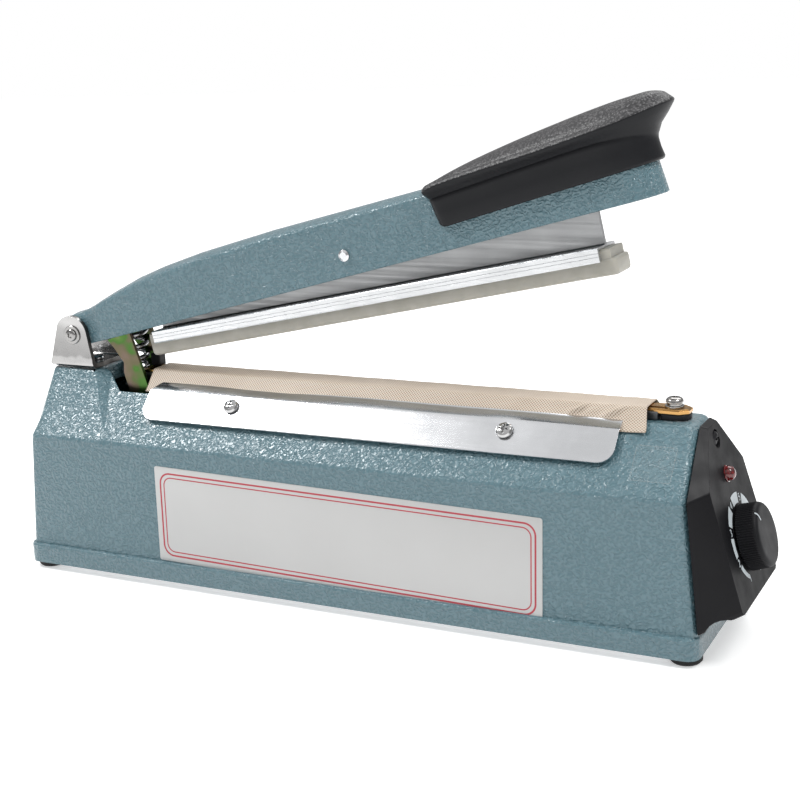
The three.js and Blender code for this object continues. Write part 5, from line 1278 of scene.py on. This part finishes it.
def cornered_plate():
    """The front terminal's plate: a bar with its outer corners cut off, its rim stepped by (share, z)."""
    low, high = box_of("front_terminal_plate")
    far, cut, rear_half, half = high[0] + 0.5, 3.1, 4.4, 4.9
    near_half = [(low[0], rear_half), (far - 5.6, half), (far - cut, half), (far, half - cut * 0.8)]
    outline = np.array([(x, -y) for x, y in near_half] + near_half[::-1])
    centre = outline.mean(axis=0)
    rows = []
    for share, z in ((0.99, 84.95), (1.0, 85.05), (1.0, 86.05), (0.98, 86.15), (0.90, 86.2), (0.86, 86.58)):
        ring = centre + (outline - centre) * share
        rows.append(np.column_stack([ring, np.full(len(ring), z)]))
    plate = surface("front_terminal_plate_skin", np.array(rows), looks["brass"], 20)
    ride(plate, "base", "brass", "front_terminal_plate")


terminal_screw()
cornered_plate()

replaced = {
    "grip", "pressure_bar", "silicone_strip", "return_spring", "side_plate_near", "side_plate_far",
    "ptfe_cloth", "timer_knob", "indicator_lamp", "hinge_pin", "front_terminal_plate",
    "front_terminal_screw",
}
special = {
    "end_panel": dict(material=panel_look, angle=11, edge=0.3, crisp=panel_bend, soft=panel_fold,
                      rim=panel_face_look),
    "hinge_bracket": dict(material=bracket_look, angle=25, edge=0.12, cut=fold_height, reshape=folded_foot,
                          rim=sheared_edge),
    "leg_bracket": dict(angle=25, edge=0.25),
    "housing": dict(angle=18, edge=0.5, reshape=post_with_facet, share_of=housing_share, clamped=False),
    "bed_bar": dict(material=end_look, edge=0.2),
    "arm": dict(angle=26, edge=0.35, reshape=leaning_arm, crisp=rear_crease, clamped=False),
    "heating_ribbon": dict(material=looks["brass"]),
    **{f"side_screw_{n}": dict(material=screw_look, angle=30, edge=0.12) for n in (1, 2, 3, 4)},
    "front_terminal_block": dict(angle=30, edge=0.4),
    "rear_terminal_block": dict(angle=30, edge=0.4, reshape=moved_block),
}
for name in nodes:
    if name not in replaced:
        dressed(name, **special.get(name, {}))


# Floor and lights

def floor_finish():
    """Pale paper that glows a little where it is seen, mirrored or looked at through something."""
    f = Finish("pale_floor", (0.88, 0.88, 0.88), 0.8, Specular_IOR_Level=0.1)
    f.grain(3, 0.01)
    path = f.add("ShaderNodeLightPath").outputs
    seen = f.sum("MAXIMUM", path["Is Camera Ray"], path["Is Glossy Ray"])
    seen = f.sum("MAXIMUM", seen, path["Is Transmission Ray"])
    glow = f.add("ShaderNodeEmission", {"Strength": 0.42})
    plain = f.add("ShaderNodeEmission", {"Strength": 0.0})
    mix = f.add("ShaderNodeMixShader", joins={"Fac": seen, 1: plain.outputs[0], 2: glow.outputs[0]})
    both = f.add("ShaderNodeAddShader", joins={0: f.shader.outputs[0], 1: mix.outputs[0]})
    f.join(both.outputs[0], f.tree.nodes["Material Output"], "Surface")
    return f.material


def area_lamp(name, place, aim, size, power):
    data = bpy.data.lights.new(name, "AREA")
    data.shape = "RECTANGLE"
    data.size, data.size_y = size
    data.energy = power
    lamp = placed(name, data)
    lamp.location = place
    lamp.rotation_mode = "QUATERNION"
    lamp.rotation_quaternion = (Vector(aim) - Vector(place)).to_track_quat("-Z", "Y")


mesh = bpy.data.meshes.new("floor")
mesh.from_pydata([(-4, -4, 0), (4, -4, 0), (4, 4, 0), (-4, 4, 0)], [], [(0, 1, 2, 3)])
mesh.materials.append(floor_finish())
placed("floor", mesh)

area_lamp("key_light", (-0.86, -0.37, 1.1), (0, 0, 0.06), (0.36, 0.36), 8.4)
area_lamp("front_light", (0.9, -1.0, 0.7), (0, 0, 0.08), (0.6, 0.6), 0.6)
area_lamp("side_light", (0.70, -0.11, 1.08), (0.1, 0, 0.06), (0.35, 0.35), 5.0)
area_lamp("back_light", (0.1, 0.9, 1.1), (0, 0, 0.08), (1.0, 0.6), 5)

world = bpy.data.worlds.new("studio")
bpy.context.scene.world = world
world.use_nodes = True
studio = Nodes(world.node_tree)
around = studio.add("ShaderNodeTexCoord").outputs["Generated"]
height = studio.add("ShaderNodeSeparateXYZ", joins={0: around}).outputs["Z"]
sky = studio.ramp(height, [(0.0, (0.70, 0.70, 0.71)), (0.12, 0.38), (0.42, 0.35), (0.60, 0.76), (1.0, 0.82)])
to_camera = studio.add("ShaderNodeLightPath").outputs["Is Camera Ray"]
white = {"B": (1, 1, 1, 1)}
seen = studio.add("ShaderNodeMix", white, {"Factor": to_camera, "A": sky}, data_type="RGBA")
studio.join(seen.outputs["Result"], studio.tree.nodes["Background"], "Color")

bpy.context.scene.view_settings.view_transform = "Standard"
